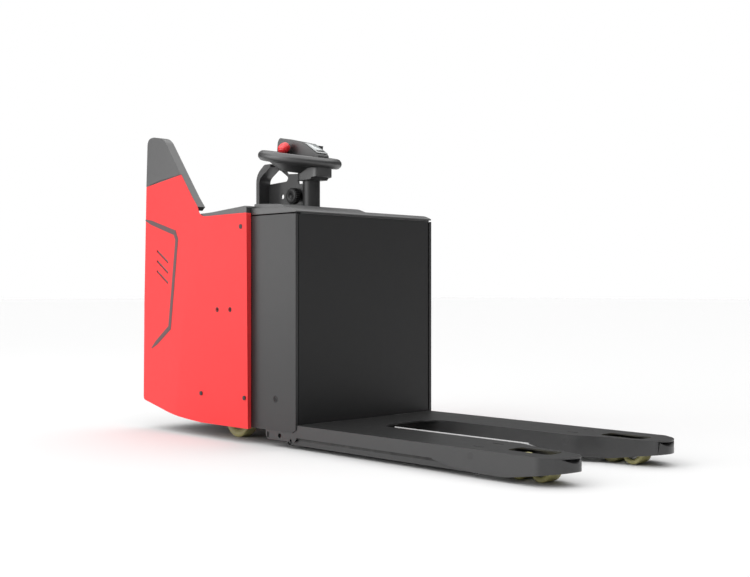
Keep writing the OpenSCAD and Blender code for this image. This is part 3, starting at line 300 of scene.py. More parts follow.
def finish_of(slot):
    """The finish of one of the record's material slots, or of a fine piece."""
    c = colours()
    recipes = {  # colour, roughness, scale and depth of the grain, drift of the colour, the rest
        "red_paint": (c.red, 0.42, 700, 4e-5, 0.03, dict(specular=0.18, dust=0.04, dust_colour=(0.5, 0.05, 0.05))),
        "estop_red": (c.stop_red, 0.28, 1200, 2e-5, 0.05, {}),
        "grey_paint": (c.grey, 0.36, 900, 5e-5, 0.04, dict(specular=0.42, dust=0.015, wear=0.03)),
        # grey paint made lighter than the pillars' with painted light, standing in for softbox light that the wing
        # keeps off the bracket
        "bracket_grey": ((0.05, 0.05, 0.051), 0.38, 900, 5e-5, 0.05, dict(specular=1.0)),
        "black_paint": (c.black, 0.36, 900, 5e-5, 0.06, dict(specular=0.75, dust=0.015, wear=0.04)),
        "fork_paint": (c.black, 0.34, 700, 4e-5, 0.05, dict(specular=0.85, dust=0.012, wear=0.03)),
        "panel_black": ((0.013, 0.013, 0.0135), 0.46, 1500, 6e-5, 0.08, dict(specular=0.4)),
        "moulded_grey": (c.moulded, 0.4, 1100, 12e-5, 0.06, dict(specular=1.0, cells=0.6)),
        "black_plastic": ((0.012, 0.012, 0.0125), 0.46, 1300, 12e-5, 0.1, dict(cells=0.5)),
        "grip_rubber": ((0.022, 0.022, 0.0225), 0.42, 1600, 2e-4, 0.08, dict(specular=1.0, cells=0.7)),
        # painted shade: dark red-grey of the strip laid over the side panel's pressed line
        "inlay_grey": ((0.09, 0.05, 0.052), 0.55, 900, 1e-4, 0.08, {}),
        "rubber_mat": ((0.022, 0.022, 0.023), 0.7, 800, 2e-4, 0.12, dict(cells=0.3, dust=0.16)),
        "pad_leather": (c.pad, 0.46, 420, 4e-4, 0.12, dict(cells=0.85, cell_colour=0.35, sheen=0.05)),
        "thread": ((0.16, 0.16, 0.165), 0.75, 3000, 2e-4, 0.2, {}),
        "display_face": ((0.3, 0.31, 0.31), 0.25, 1500, 1e-5, 0.03, dict(coat=0.4)),
        "screen_glass": ((0.42, 0.45, 0.45), 0.15, 900, 1e-5, 0.1, dict(coat=0.5)),
        "polyurethane": (c.tyre, 0.45, 500, 6e-5, 0.18, dict(dust=0.25, wear=0.1, wear_colour=(0.12, 0.11, 0.07))),
        "bare_steel": ((0.55, 0.55, 0.56), 0.33, 1200, 4e-5, 0.08, dict(metallic=1.0, brushed=True)),
        "piston_chrome": ((0.8, 0.8, 0.82), 0.09, 2000, 5e-6, 0.02, dict(rough_spread=0.03, metallic=1.0)),
        "cast_grey": ((0.2, 0.2, 0.2), 0.6, 450, 4e-4, 0.15, dict(metallic=0.6, cells=0.3)),
        "motor_black": ((0.03, 0.03, 0.033), 0.5, 500, 2e-4, 0.15, dict(cells=0.2)),
        "zinc": ((0.3, 0.3, 0.31), 0.3, 1500, 3e-5, 0.1, dict(metallic=1.0)),
    }
    *values, rest = recipes[slot]
    return finish(slot, *values, **rest)


# ------------------------------------------------------------------ mesh helpers

def stand(name, data):
    """Puts a new object in the scene."""
    made = bpy.data.objects.new(name, data)
    bpy.context.scene.collection.objects.link(made)
    return made


def new_piece(name, mesh, body, slot, material=None, replaces=(), keep_smooth=True):
    """Puts a finished mesh in the scene, on its body and with its finish."""
    piece = stand(name, mesh)
    mesh.materials.clear()
    mesh.materials.append(finish_of(material or slot))
    if keep_smooth:
        mesh.shade_smooth()
    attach(piece, body)
    if replaces:
        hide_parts(*replaces)
    return piece


def mesh_of(name, builder):
    """Plain mesh from a bmesh, without the attributes that came with an import."""
    builder.verts.index_update()
    made = bpy.data.meshes.new(name)
    made.from_pydata([v.co[:] for v in builder.verts], [], [[v.index for v in f.verts] for f in builder.faces])
    made.update()
    return made


def add_piece(name, builder, *place, **more):
    """Turns a bmesh into a finished piece and frees it."""
    mesh = mesh_of(name, builder)
    builder.free()
    return new_piece(name, mesh, *place, **more)


def clean_bmesh(name, flat_angle=0.6):
    """Merged copy of a CAD node with its flat faces joined up."""
    builder = bmesh.new()
    builder.from_mesh(NODES[name].data)
    bmesh.ops.remove_doubles(builder, verts=builder.verts, dist=2e-5)
    bmesh.ops.dissolve_degenerate(builder, edges=builder.edges, dist=1e-5)
    bmesh.ops.dissolve_limit(builder, verts=builder.verts, edges=builder.edges, angle_limit=math.radians(flat_angle))
    return builder


def rounded(name, width, segments=2, material=None):
    """Stands a copy with rounded edges in for a CAD node; its flat faces stay flat."""
    piece = add_piece(name + "_shape", clean_bmesh(name), BODY[name], SLOT[name], material, (name,))
    piece.data.set_sharp_from_angle(angle=math.radians(50))
    edge = piece.modifiers.new("edge", "BEVEL")
    edge.width = width
    edge.segments = segments
    edge.limit_method = "ANGLE"
    edge.angle_limit = math.radians(32)
    edge.miter_outer = "MITER_ARC"
    piece.modifiers.new("shading", "WEIGHTED_NORMAL").keep_sharp = True
    return piece


def circle(radius, count):
    return [(radius * math.cos(2 * math.pi * i / count), radius * math.sin(2 * math.pi * i / count))
            for i in range(count)]


def lathe(profile, segments=64):
    """Closed solid of revolution about Z from (radius, height) points, both ends on the axis or joined."""
    builder = bmesh.new()
    rings = []
    for radius, height in profile:
        if radius < 1e-9:
            rings.append([builder.verts.new((0, 0, height))])
        else:
            rings.append([builder.verts.new((x, y, height)) for x, y in circle(radius, segments)])
    pairs = list(zip(rings, rings[1:]))
    if profile[0][0] > 1e-9 and profile[-1][0] > 1e-9:
        pairs.append((rings[-1], rings[0]))
    for low, high in pairs:
        for i in range(segments):
            k = (i + 1) % segments
            corners = [low[i % len(low)], low[k % len(low)], high[k % len(high)], high[i % len(high)]]
            face = [v for j, v in enumerate(corners) if v not in corners[:j]]
            if len(face) > 2:
                builder.faces.new(face)
    bmesh.ops.recalc_face_normals(builder, faces=builder.faces)
    return builder


def placed(builder, matrix):
    """Moves a bmesh into its place and keeps its faces outwards."""
    bmesh.ops.transform(builder, matrix=matrix, verts=builder.verts)
    if matrix.determinant() < 0:
        bmesh.ops.reverse_faces(builder, faces=builder.faces)
    return builder


def facing(position, direction, spin=0.0):
    """Matrix that puts an upright shape at a position, looking along a direction."""
    turn = Vector(direction).to_track_quat("Z", "Y").to_matrix().to_4x4()
    return Matrix.Translation(position) @ turn @ Matrix.Rotation(spin, 4, "Z")


def joined(parts):
    """One bmesh from several."""
    whole = bmesh.new()
    for part in parts:
        mesh = mesh_of("part", part)
        whole.from_mesh(mesh)
        bpy.data.meshes.remove(mesh)
        part.free()
    return whole


def rounded_box(low, high, radius, segments=3):
    """Box between two corners with rounded edges."""
    builder = bmesh.new()
    bmesh.ops.create_cube(builder, size=1.0)
    centre, span = (Vector(low) + Vector(high)) / 2, Vector(high) - Vector(low)
    bmesh.ops.transform(builder, matrix=Matrix.Translation(centre) @ Matrix.Diagonal((*span, 1)), verts=builder.verts)
    bmesh.ops.bevel(builder, geom=builder.edges[:], offset=radius, segments=segments, affect="EDGES", profile=0.5)
    bmesh.ops.recalc_face_normals(builder, faces=builder.faces)
    return builder


def head_matrix():
    """Place of the tilted control head: the centre of its grip ring, upright along the horn button's travel."""
    low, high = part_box("grip_ring")
    up = Vector(JOINTS["horn_push"]["axis"])
    side = Vector((0, 1, 0))
    ahead = side.cross(up)
    turn = Matrix((ahead, side, up)).transposed().to_4x4()
    return Matrix.Translation((low + high) / 2) @ turn


# ------------------------------------------------------------------ geometry nodes

def new_geometry_tree(name, inputs):
    inputs = [(label, kind, None) for label, kind in (("Geometry", "Geometry"), *inputs, ("Finish", "Material"))]
    made = new_tree(name, "GeometryNodeTree", inputs, [("Geometry", "Geometry")])
    made[0].is_modifier = True
    return made


def finish_tree(tree, given, out, instances):
    """Ends a tree: real geometry with its material."""
    real = node(tree, "GeometryNodeRealizeInstances", {0: instances})
    dressed = node(tree, "GeometryNodeSetMaterial",
                   {"Geometry": real.outputs[0], "Material": given.outputs["Finish"]})
    tree.links.new(dressed.outputs[0], out.inputs[0])


@made_once
def shape_on_points(name):
    """Copies a small shape onto points; each point says where it looks and how it is turned, and one size serves them
    all.
    """
    tree, given, out = new_geometry_tree(name, [("Shape", "Object"), ("Size", "Float")])
    shape = node(tree, "GeometryNodeObjectInfo", {"Object": given.outputs["Shape"]})
    points = node(tree, "GeometryNodeMeshToPoints", {0: given.outputs["Geometry"]})
    aim, along = (node(tree, "GeometryNodeInputNamedAttribute", data_type="FLOAT_VECTOR", Name=label).outputs[0]
                  for label in ("aim", "along"))
    first = node(tree, "FunctionNodeAlignRotationToVector", {"Vector": aim}, axis="Z")
    second = node(tree, "FunctionNodeAlignRotationToVector", {"Rotation": first.outputs[0], "Vector": along},
                  axis="X", pivot_axis="Z")
    copies = node(tree, "GeometryNodeInstanceOnPoints",
                  {"Points": points.outputs[0], "Instance": shape.outputs["Geometry"],
                   "Rotation": second.outputs[0], "Scale": given.outputs["Size"]})
    finish_tree(tree, given, out, copies.outputs[0])
    return tree


@made_once
def stud_field(name):
    """Rows of studs on a rectangle, every second row moved by half a pitch."""
    tree, given, out = new_geometry_tree(
        name, [("Stud", "Object"), ("Length", "Float"), ("Width", "Float"), ("Pitch", "Float")])
    pitch = given.outputs["Pitch"]
    counts = [calc(tree, "FLOOR", calc(tree, "DIVIDE", given.outputs[label], pitch)) for label in ("Length", "Width")]
    grid = node(tree, "GeometryNodeMeshGrid", {"Size X": given.outputs["Length"], "Size Y": given.outputs["Width"],
                                               "Vertices X": counts[0], "Vertices Y": counts[1]})
    index = node(tree, "GeometryNodeInputIndex").outputs[0]
    odd = calc(tree, "MODULO", calc(tree, "FLOOR", calc(tree, "DIVIDE", index, counts[1])), 2.0)
    shift = node(tree, "ShaderNodeCombineXYZ", {"Y": calc(tree, "MULTIPLY", calc(tree, "MULTIPLY", odd, pitch), 0.5)})
    moved = node(tree, "GeometryNodeSetPosition", {"Geometry": grid.outputs[0], "Offset": shift.outputs[0]})
    shape = node(tree, "GeometryNodeObjectInfo", {"Object": given.outputs["Stud"]})
    copies = node(tree, "GeometryNodeInstanceOnPoints",
                  {"Points": moved.outputs[0], "Instance": shape.outputs["Geometry"]})
    finish_tree(tree, given, out, copies.outputs[0])
    return tree


def run_tree(tree, base, values):
    """Evaluates a tree on a base mesh and returns the plain result."""
    holder = stand("tree_holder", base)
    modifier = holder.modifiers.new("repeat", "NODES")
    modifier.node_group = tree
    sockets = {item.name: item.identifier for item in tree.interface.items_tree if item.in_out == "INPUT"}
    for label, value in values.items():
        modifier[sockets[label]] = value
    bpy.context.view_layer.update()
    evaluated = holder.evaluated_get(bpy.context.evaluated_depsgraph_get())
    mesh = bpy.data.meshes.new_from_object(evaluated)
    holder.modifiers.remove(modifier)
    bpy.data.objects.remove(holder)
    return mesh


def shape_object(name, builder):
    """A small source shape for a tree, kept out of the scene's pieces."""
    mesh = mesh_of(name, builder)
    builder.free()
    mesh.shade_smooth()
    return bpy.data.objects.new(name, mesh)


def scatter(name, shape, spots, body, slot, material):
    """Copies of a shape at spots (position, aim, along), as one piece."""
    base = bpy.data.meshes.new(name + "_points")
    base.from_pydata([s[0] for s in spots], [], [])
    for label, index in (("aim", 1), ("along", 2)):
        attribute = base.attributes.new(label, "FLOAT_VECTOR", "POINT")
        attribute.data.foreach_set("vector", [x for s in spots for x in s[index]])
    mesh = run_tree(shape_on_points(), base, {"Shape": shape, "Size": 1.0, "Finish": finish_of(material)})
    mesh.name = name
    return new_piece(name, mesh, body, slot, material)


# ------------------------------------------------------------------ small shapes

def socket_screw(radius):
    """Button-head screw with a hexagon socket, standing on Z = 0."""
    r = radius
    body = lathe([(0, -0.2 * r), (r, -0.2 * r), (r, 0.12 * r), (0.93 * r, 0.3 * r), (0.75 * r, 0.5 * r),
                  (0.56 * r, 0.58 * r)], 24)
    rim = [v for v in body.verts if abs(v.co.z - 0.58 * r) < 1e-7]
    body.edges.ensure_lookup_table()
    edges = [e for e in body.edges if all(v in rim for v in e.verts)]
    bmesh.ops.delete(body, geom=[f for f in body.faces if len([v for v in f.verts if v in rim]) > 2], context="FACES")
    inner = bmesh.ops.extrude_edge_only(body, edges=edges)["geom"]
    for v in (g for g in inner if isinstance(g, bmesh.types.BMVert)):
        angle = math.atan2(v.co.y, v.co.x)
        flat = math.cos(math.radians(30)) / math.cos((angle % math.radians(60)) - math.radians(30))
        v.co = Vector((0.44 * r * flat * math.cos(angle), 0.44 * r * flat * math.sin(angle), 0.56 * r))
    deep = bmesh.ops.extrude_edge_only(body, edges=[g for g in inner if isinstance(g, bmesh.types.BMEdge)])["geom"]
    for v in (g for g in deep if isinstance(g, bmesh.types.BMVert)):
        v.co.z = 0.1 * r
    bmesh.ops.contextual_create(body, geom=[g for g in deep if isinstance(g, bmesh.types.BMEdge)])
    bmesh.ops.recalc_face_normals(body, faces=body.faces)
    return body


def stud(radius, height):
    return lathe([(radius, -height), (radius, 0.25 * height), (0.82 * radius, 0.8 * height),
                  (0.55 * radius, height), (0, height), (0, -height)], 12)


def stitch(length, radius):
    """One raised stitch along X."""
    builder = bmesh.new()
    bmesh.ops.create_uvsphere(builder, u_segments=6, v_segments=5, radius=1.0)
    bmesh.ops.transform(builder, matrix=Matrix.Diagonal((length / 2, radius, radius * 0.7, 1)), verts=builder.verts)
    return builder


def tube(points, radius, sides=10, closed=True):
    """Round tube along points, closed into a loop or capped."""
    builder = bmesh.new()
    rings = []
    count = len(points)
    for i, point in enumerate(points):
        before = points[i - 1] if closed or i else point
        after = points[(i + 1) % count] if closed or i < count - 1 else point
        turn = (Vector(after) - Vector(before)).to_track_quat("Z", "Y")
        rings.append([builder.verts.new(Vector(point) + turn @ Vector((x, y, 0))) for x, y in circle(radius, sides)])
    for i in range(count if closed else count - 1):
        low, high = rings[i], rings[(i + 1) % count]
        offset = min(range(sides), key=lambda d: sum((low[k].co - high[(k + d) % sides].co).length
                                                     for k in range(0, sides, 3)))
        for k in range(sides):
            m = (k + 1) % sides
            builder.faces.new([low[k], low[m], high[(m + offset) % sides], high[(k + offset) % sides]])
    if not closed:
        builder.faces.new(rings[0])
        builder.faces.new(rings[-1])
    bmesh.ops.recalc_face_normals(builder, faces=builder.faces)
    return builder


# ------------------------------------------------------------------ pieces

class TRUCK_OT_frame_finishes(bpy.types.Operator):
    """Gives every CAD node that stays its own finish"""
    bl_idname = "truck.frame_finishes"
    bl_label = "Frame finishes"

    def execute(self, context):
        for name, obj in NODES.items():
            obj.data.materials.clear()
            obj.data.materials.append(finish_of("black_paint" if name == "hood_hinge" else SLOT[name]))
        return {"FINISHED"}


class TRUCK_OT_body_shell(bpy.types.Operator):
    """Side panels, wing cap, pillars, front panel and the frame around them"""
    bl_idname = "truck.body_shell"
    bl_label = "Body shell"

    def execute(self, context):
        s = sizes()
        for name in ("side_panel_right", "side_panel_left", "pillar_right", "pillar_left", "console_rear_panel"):
            panel = rounded(name, s.sheet_edge)
            if name == "side_panel_right":
                self.pressed_line(panel)
        rounded("front_panel", s.sheet_edge, material="panel_black")
        rounded("wing_liner", s.moulded_edge, 3)
        for name in ("drive_frame", "battery_box", "floor_pan", "fork_bridge"):
            rounded(name, s.sheet_edge)
        return {"FINISHED"}

    def pressed_line(self, panel):
        """Lays a dark strip of painted shade over the pressed line, where the groove's shade falls: the groove's
        floor, made wider and a hair proud.
        """
        builder = bmesh.new()
        builder.from_mesh(panel.data)
        bmesh.ops.recalc_face_normals(builder, faces=builder.faces)
        strips = []
        for face in builder.faces:
            total = sum(e.calc_length() for e in face.edges)
            inner = sum(e.calc_length() for e in face.edges if len(e.link_faces) == 2 and not e.is_convex)
            if face.normal.y < -0.5 and inner > 0.85 * total and face.calc_area() < 0.02:
                strips.append(([loop.vert.co.copy() for loop in face.loops], face.normal.copy()))
        builder.free()
        made = bmesh.new()
        for loop, normal in strips:
            count = len(loop)
            if count < 4 or count % 2:
                continue
            turns = [loop[k:] + loop[:k] for k in range(count)]
            best = min(turns, key=lambda t: sum((t[i] - t[count - 1 - i]).length for i in range(count // 2)))
            rows = []
            for i in range(count // 2):
                a, b = best[i], best[count - 1 - i]
                middle, half = (a + b) / 2, (a - b) / 2
                rows.append([made.verts.new(middle + half * side + normal * lift) for lift in (GROOVE_SHADE_PROUD, 0.0)
                             for side in (GROOVE_SHADE_SPREAD, -GROOVE_SHADE_SPREAD)])
            for low, high in zip(rows, rows[1:]):
                for i, k in ((0, 1), (1, 3), (3, 2), (2, 0)):
                    made.faces.new((low[i], low[k], high[k], high[i]))
            for row in (rows[0], rows[-1]):
                made.faces.new((row[0], row[1], row[3], row[2]))
        bmesh.ops.recalc_face_normals(made, faces=made.faces)
        # the groove's shade, painted as a dark strip
        add_piece("pressed_line", made, "chassis", "black_plastic", "inlay_grey", keep_smooth=False)


class TRUCK_OT_moulded_covers(bpy.types.Operator):
    """Battery hood and dash with soft moulded edges, and the seal between them"""
    bl_idname = "truck.moulded_covers"
    bl_label = "Moulded covers"

    def execute(self, context):
        s = sizes()
        rounded("battery_hood", s.moulded_edge, 3)
        rounded("console_cover", s.moulded_edge, 3)
        low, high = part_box("battery_hood")
        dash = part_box("console_cover")[1]
        lip = rounded_box((low.x - 0.0012, low.y + 0.02, low.z + 0.004),
                          (low.x + 0.0018, high.y - 0.02, dash.z - 0.012), 0.001)
        add_piece("hood_seal", lip, "battery_hood", "black_plastic", "grip_rubber")
        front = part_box("front_panel")
        strip = rounded_box((front[0].x - 0.007, low.y + 0.006, front[1].z + 0.0006),
                            (front[0].x - 0.003, high.y - 0.006, low.z + 0.0008), 0.0005, 1)
        add_piece("hood_front_seal", strip, "battery_hood", "black_plastic", "rubber_mat")
        return {"FINISHED"}


class TRUCK_OT_forks(bpy.types.Operator):
    """Forks, rockers, rods and cranks with rounded plate edges"""
    bl_idname = "truck.forks"
    bl_label = "Forks and linkage"

    def execute(self, context):
        s = sizes()
        for side in ("right", "left"):
            rounded("fork_" + side, s.plate_edge, material="fork_paint")
            for name in ("rocker_", "bogie_", "pull_rod_", "crank_", "castor_fork_"):
                rounded(name + side, s.sheet_edge)
        self.rod_guards()
        return {"FINISHED"}

    def rod_guards(self):
        """Thin near-black strips inside the forks' side plates, painted shade where the pull rods' slots fall dark;
        they hide the slots.
        """
        for side, sign in (("right", 1), ("left", -1)):
            low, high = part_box("fork_" + side)
            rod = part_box("pull_rod_" + side)
            outer = low.y if sign > 0 else high.y
            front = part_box("front_panel")[1].x
            faces = sorted((outer + sign * 0.0083, outer + sign * 0.0096))
            strip = rounded_box((front + 0.003, faces[0], rod[1].z - 0.006),
                                (rod[1].x - 0.16, faces[1], high.z - 0.012), 0.0004, 1)
            # painted shade: the slot's darkness, as a near-black strip
            add_piece("rod_guard_" + side, strip, "load_frame", "black_paint", "rubber_mat")


def mirrored(half):
    """Whole profile from its lower half of (radius, height) points."""
    return half + [(radius, -height) for radius, height in reversed(half)]


def tread(radius, bore, width, shoulder):
    """Profile of a cast tread across its width."""
    h = width / 2
    return mirrored([(bore, -h + shoulder), (radius - 2.2 * shoulder, -h),
                     (radius - 0.7 * shoulder, -h + 0.35 * shoulder), (radius - 0.1 * shoulder, -h + 1.1 * shoulder),
                     (radius, -h + 2.2 * shoulder)])


def hub_profile(radius, bore, width):
    h = width / 2
    return mirrored([(bore, -h), (0.62 * radius, -h), (0.66 * radius, -h + 0.0015), (0.72 * radius, -h + 0.003),
                     (radius, -h + 0.003)])


class TRUCK_OT_wheels(bpy.types.Operator):
    """Load wheels, castor wheels and the drive tyre: cast treads on steel hubs with seals"""
    bl_idname = "truck.wheels"
    bl_label = "Wheels"

    def execute(self, context):
        names = ["load_wheel_%s_%s" % (end, side) for end in ("front", "rear") for side in ("right", "left")]
        names += ["castor_wheel_right", "castor_wheel_left"]
        for name in names:
            low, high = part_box(name)
            centre, radius, width = (low + high) / 2, (high.z - low.z) / 2, high.y - low.y
            core = 0.58 * radius
            place = facing(centre, (0, -1, 0))
            cast = placed(lathe(tread(radius, core - 0.0002, width, 0.0035)), place)
            add_piece(name + "_tread", cast, BODY[name], "polyurethane", replaces=(name,))
            hub = placed(lathe(hub_profile(core, WHEEL_PIN, width - 0.001)), place)
            add_piece(name + "_hub", hub, BODY[name], "cast_grey", "zinc")
            seals = joined([placed(lathe([(WHEEL_PIN, 0), (0.55 * core, 0), (0.5 * core, 0.0009),
                                          (WHEEL_PIN, 0.0009)], 40),
                                   facing(centre + Vector((0, side * (width / 2 - 0.0005), 0)), (0, side, 0)))
                            for side in (-1, 1)])
            add_piece(name + "_seals", seals, BODY[name], "black_plastic", "grip_rubber")
        low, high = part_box("drive_tyre")
        centre, radius, width = (low + high) / 2, (high.z - low.z) / 2, high.y - low.y
        cast = placed(lathe(tread(radius, radius - 0.0299, width, 0.0042), 96), facing(centre, (0, -1, 0)))
        add_piece("drive_tyre_tread", cast, BODY["drive_tyre"], "polyurethane", replaces=("drive_tyre",))
        rounded("drive_hub", sizes().sheet_edge)
        rounded("gearbox", sizes().plate_edge, 3)
        rim = 0.046
        spots = [(centre + Vector((rim * math.cos(a), -width / 2 + 0.0192, rim * math.sin(a))), (0, -1, 0), (1, 0, 0))
                 for a in (math.radians(60 * i + 30) for i in range(6))]
        scatter("drive_wheel_nuts", shape_object("nut", socket_screw(0.008)), spots, BODY["drive_hub"], "cast_grey",
                "zinc")
        return {"FINISHED"}


def swell(piece, pinned, most, steps=20):
    """Inflates a pad as cloth, holds its pinned back still and caps how far a point moves."""
    start = [v.co.copy() for v in piece.data.vertices]
    group = piece.vertex_groups.new(name="held")
    group.add(pinned, 1.0, "REPLACE")
    cloth = piece.modifiers.new("foam", "CLOTH")
    for key, value in dict(use_pressure=True, uniform_pressure_force=4.0, quality=6, mass=0.3,
                           bending_stiffness=0.6, vertex_group_mass="held").items():
        setattr(cloth.settings, key, value)
    cloth.settings.effector_weights.gravity = 0
    scene = bpy.context.scene
    for step in range(1, steps + 1):
        scene.frame_set(step)
    evaluated = piece.evaluated_get(bpy.context.evaluated_depsgraph_get())
    moved = [v.co.copy() for v in evaluated.data.vertices]
    piece.modifiers.remove(cloth)
    scene.frame_set(1)
    for vertex, old, new in zip(piece.data.vertices, start, moved):
        step = new - old
        vertex.co = old + (step if step.length <= most else step.normalized() * most)
    piece.data.update()


class TRUCK_OT_backrest_pad(bpy.types.Operator):
    """Foam pad on the inside of the wing: swollen cover, piping round its edge and two stitched seams"""
    bl_idname = "truck.backrest_pad"
    bl_label = "Backrest pad"

    def execute(self, context):
        s = sizes()
        low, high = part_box("backrest_pad")
        builder = clean_bmesh("backrest_pad")
        bmesh.ops.recalc_face_normals(builder, faces=builder.faces)
        mesh = mesh_of("backrest_pad_cover", builder)
        back = max(builder.faces, key=lambda f: (f.calc_area() if f.normal.y < -0.9 else 0))
        front = max(builder.faces, key=lambda f: (f.calc_area() if f.normal.y > 0.9 else 0))
        normal, plane_co = front.normal.copy(), back.verts[0].co.copy()
        middle = front.calc_center_median()
        outline = [loop.vert.co.copy() for loop in front.loops]
        builder.free()
        pad = stand("backrest_pad_cover", mesh)
        grid = pad.modifiers.new("grid", "REMESH")
        grid.mode = "VOXEL"
        grid.voxel_size = 0.0055
        grid.use_smooth_shade = True
        soft = pad.modifiers.new("soft", "SMOOTH")
        soft.factor = 0.5
        soft.iterations = 6
        bpy.context.view_layer.update()
        made = bpy.data.meshes.new_from_object(pad.evaluated_get(bpy.context.evaluated_depsgraph_get()))
        pad.modifiers.clear()
        pad.data = made
        made.name = "backrest_pad_cover"
        depth = 0.012
        pinned = [v.index for v in made.vertices if (v.co - plane_co).dot(normal) < depth]
        swell(pad, pinned, s.pad_swell)
        sunk = 0.0045
        channels = [middle.z + 0.14, middle.z - 0.12]
        for vertex in made.vertices:
            rise = (vertex.co - plane_co).dot(normal)
            if rise > 0.02:
                for level in channels:
                    near = abs(vertex.co.z - level) / 0.022
                    if near < 1:
                        vertex.co -= normal * sunk * (1 - near * near * (3 - 2 * near))
        made.update()
        bpy.data.objects.remove(pad)
        pad = new_piece("backrest_pad_cover", made, BODY["backrest_pad"], "pad_leather", replaces=("backrest_pad",))
        pad.modifiers.new("fine", "SUBSURF").levels = 1
        pad.modifiers["fine"].render_levels = 1
        self.seams(made, normal, outline, channels, low, high)
        return {"FINISHED"}

    def seams(self, cover, normal, outline, channels, low, high):
        """Piping round the edge of the front, and stitches along it and in the channels."""
        s = sizes()
        tree = BVHTree.FromPolygons([v.co for v in cover.vertices], [p.vertices for p in cover.polygons])

        def on_cover(point):
            hit = tree.ray_cast(point + normal * 0.1, -normal)
            return (hit[0], hit[1]) if hit[0] else None

        middle = sum(outline, Vector()) / len(outline)
        rim, piping = resampled(outline, 0.008), []
        for point in rim:
            hit = tree.find_nearest(point - normal * 0.006 + (point - middle).normalized() * 0.004)
            piping.append(hit[0] + hit[1] * 0.0006)
        bead = tube(piping, 0.0028)
        add_piece("pad_piping", bead, "chassis", "pad_leather", "pad_leather")
        shape = shape_object("stitch_shape", stitch(0.0048, 0.0007))
        rows = []
        inner = [middle + (p - middle) * (1 - 0.022 / max(0.05, (p - middle).length)) for p in outline]
        rows.append(resampled(inner, s.stitch_pitch))
        for level in channels:
            for side in (-0.0055, 0.0055):
                rows.append([Vector((x, high.y, level + side)) for x in
                             (low.x + 0.035 + i * s.stitch_pitch
                              for i in range(int((high.x - low.x - 0.08) / s.stitch_pitch)))])
        spots = []
        for row in rows:
            for i, point in enumerate(row[:-1]):
                hit = on_cover(point)
                if hit and hit[1].dot(normal) > 0.5:
                    spots.append((hit[0] + hit[1] * 0.0002, hit[1], (row[i + 1] - point).normalized()))
        scatter("pad_stitches", shape, spots, "chassis", "pad_leather", "thread")


def resampled(loop, pitch):
    """Points at one pitch along a closed loop."""
    points, total = [], 0.0
    closed = list(loop) + [loop[0]]
    for a, b in zip(closed, closed[1:]):
        length = (b - a).length
        while total < length:
            points.append(a + (b - a) * (total / length))
            total += pitch
        total -= length
    return points


class TRUCK_OT_column(bpy.types.Operator):
    """Handle bar, steering column, collars and the ribbed clamp knob"""
    bl_idname = "truck.column"
    bl_label = "Steering column"

    def execute(self, context):
        s = sizes()
        # partly painted light: the bracket's grey is lifted so its shaded web looks as light as lit grey paint
        rounded("control_bracket", 0.0022, 3, material="bracket_grey")
        rounded("column_tube", s.plate_edge, material="grey_paint")
        rounded("column_inner", s.sheet_edge)
        low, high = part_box("column_inner")
        centre, tube_r = (low.x + high.x) / 2, 0.035
        dash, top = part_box("console_cover")[1].z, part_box("column_tube")[1].z
        collars = joined([
            placed(lathe([(tube_r, 0), (tube_r + 0.009, 0), (tube_r + 0.008, 0.004), (tube_r + 0.003, 0.011),
                          (tube_r, 0.012)], 72), Matrix.Translation((centre, 0, dash - 0.0185))),
            placed(lathe([(0.0292, 0), (0.0352, 0), (0.0352, 0.0024), (0.0338, 0.0038), (0.0292, 0.0038)], 72),
                   Matrix.Translation((centre, 0, top - 0.0002)))])
        add_piece("column_collars", collars, "chassis", "black_plastic", "grip_rubber")
        self.knob()
        return {"FINISHED"}

    def knob(self):
        """Ribbed knob: a dished core with ribs set round it."""
        low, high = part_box("clamp_knob")
        centre = Vector(((low.x + high.x) / 2, low.y, (low.z + high.z) / 2))
        place = facing(centre, (0, -1, 0))
        r = (high.x - low.x) / 2
        core = placed(lathe([(0, -0.006), (0.011, -0.006), (0.0125, -0.0005), (0.8 * r, -0.0005),
                             (0.9 * r, -0.0035), (0.93 * r, -0.008), (0.93 * r, -0.027),
                             (0.86 * r, -0.0312), (0.0075, -0.0312), (0.0062, -0.0485), (0, -0.0485)], 64), place)
        add_piece("clamp_knob_core", core, "clamp_knob", "black_plastic", replaces=("clamp_knob",))
        rib = rounded_box((-0.0022, -0.0018, -0.012), (0.0022, 0.0018, 0.012), 0.0012, 2)
        spots = []
        count = sizes().knob_ribs
        for i in range(count):
            a = 2 * math.pi * i / count
            outward = Vector((math.cos(a), 0, math.sin(a)))
            spots.append((centre + Vector((0, 0.0165, 0)) + outward * (r - 0.0026), (0, 1, 0), outward))
        scatter("clamp_knob_ribs", shape_object("rib", rib), spots, "clamp_knob", "black_plastic", "grip_rubber")


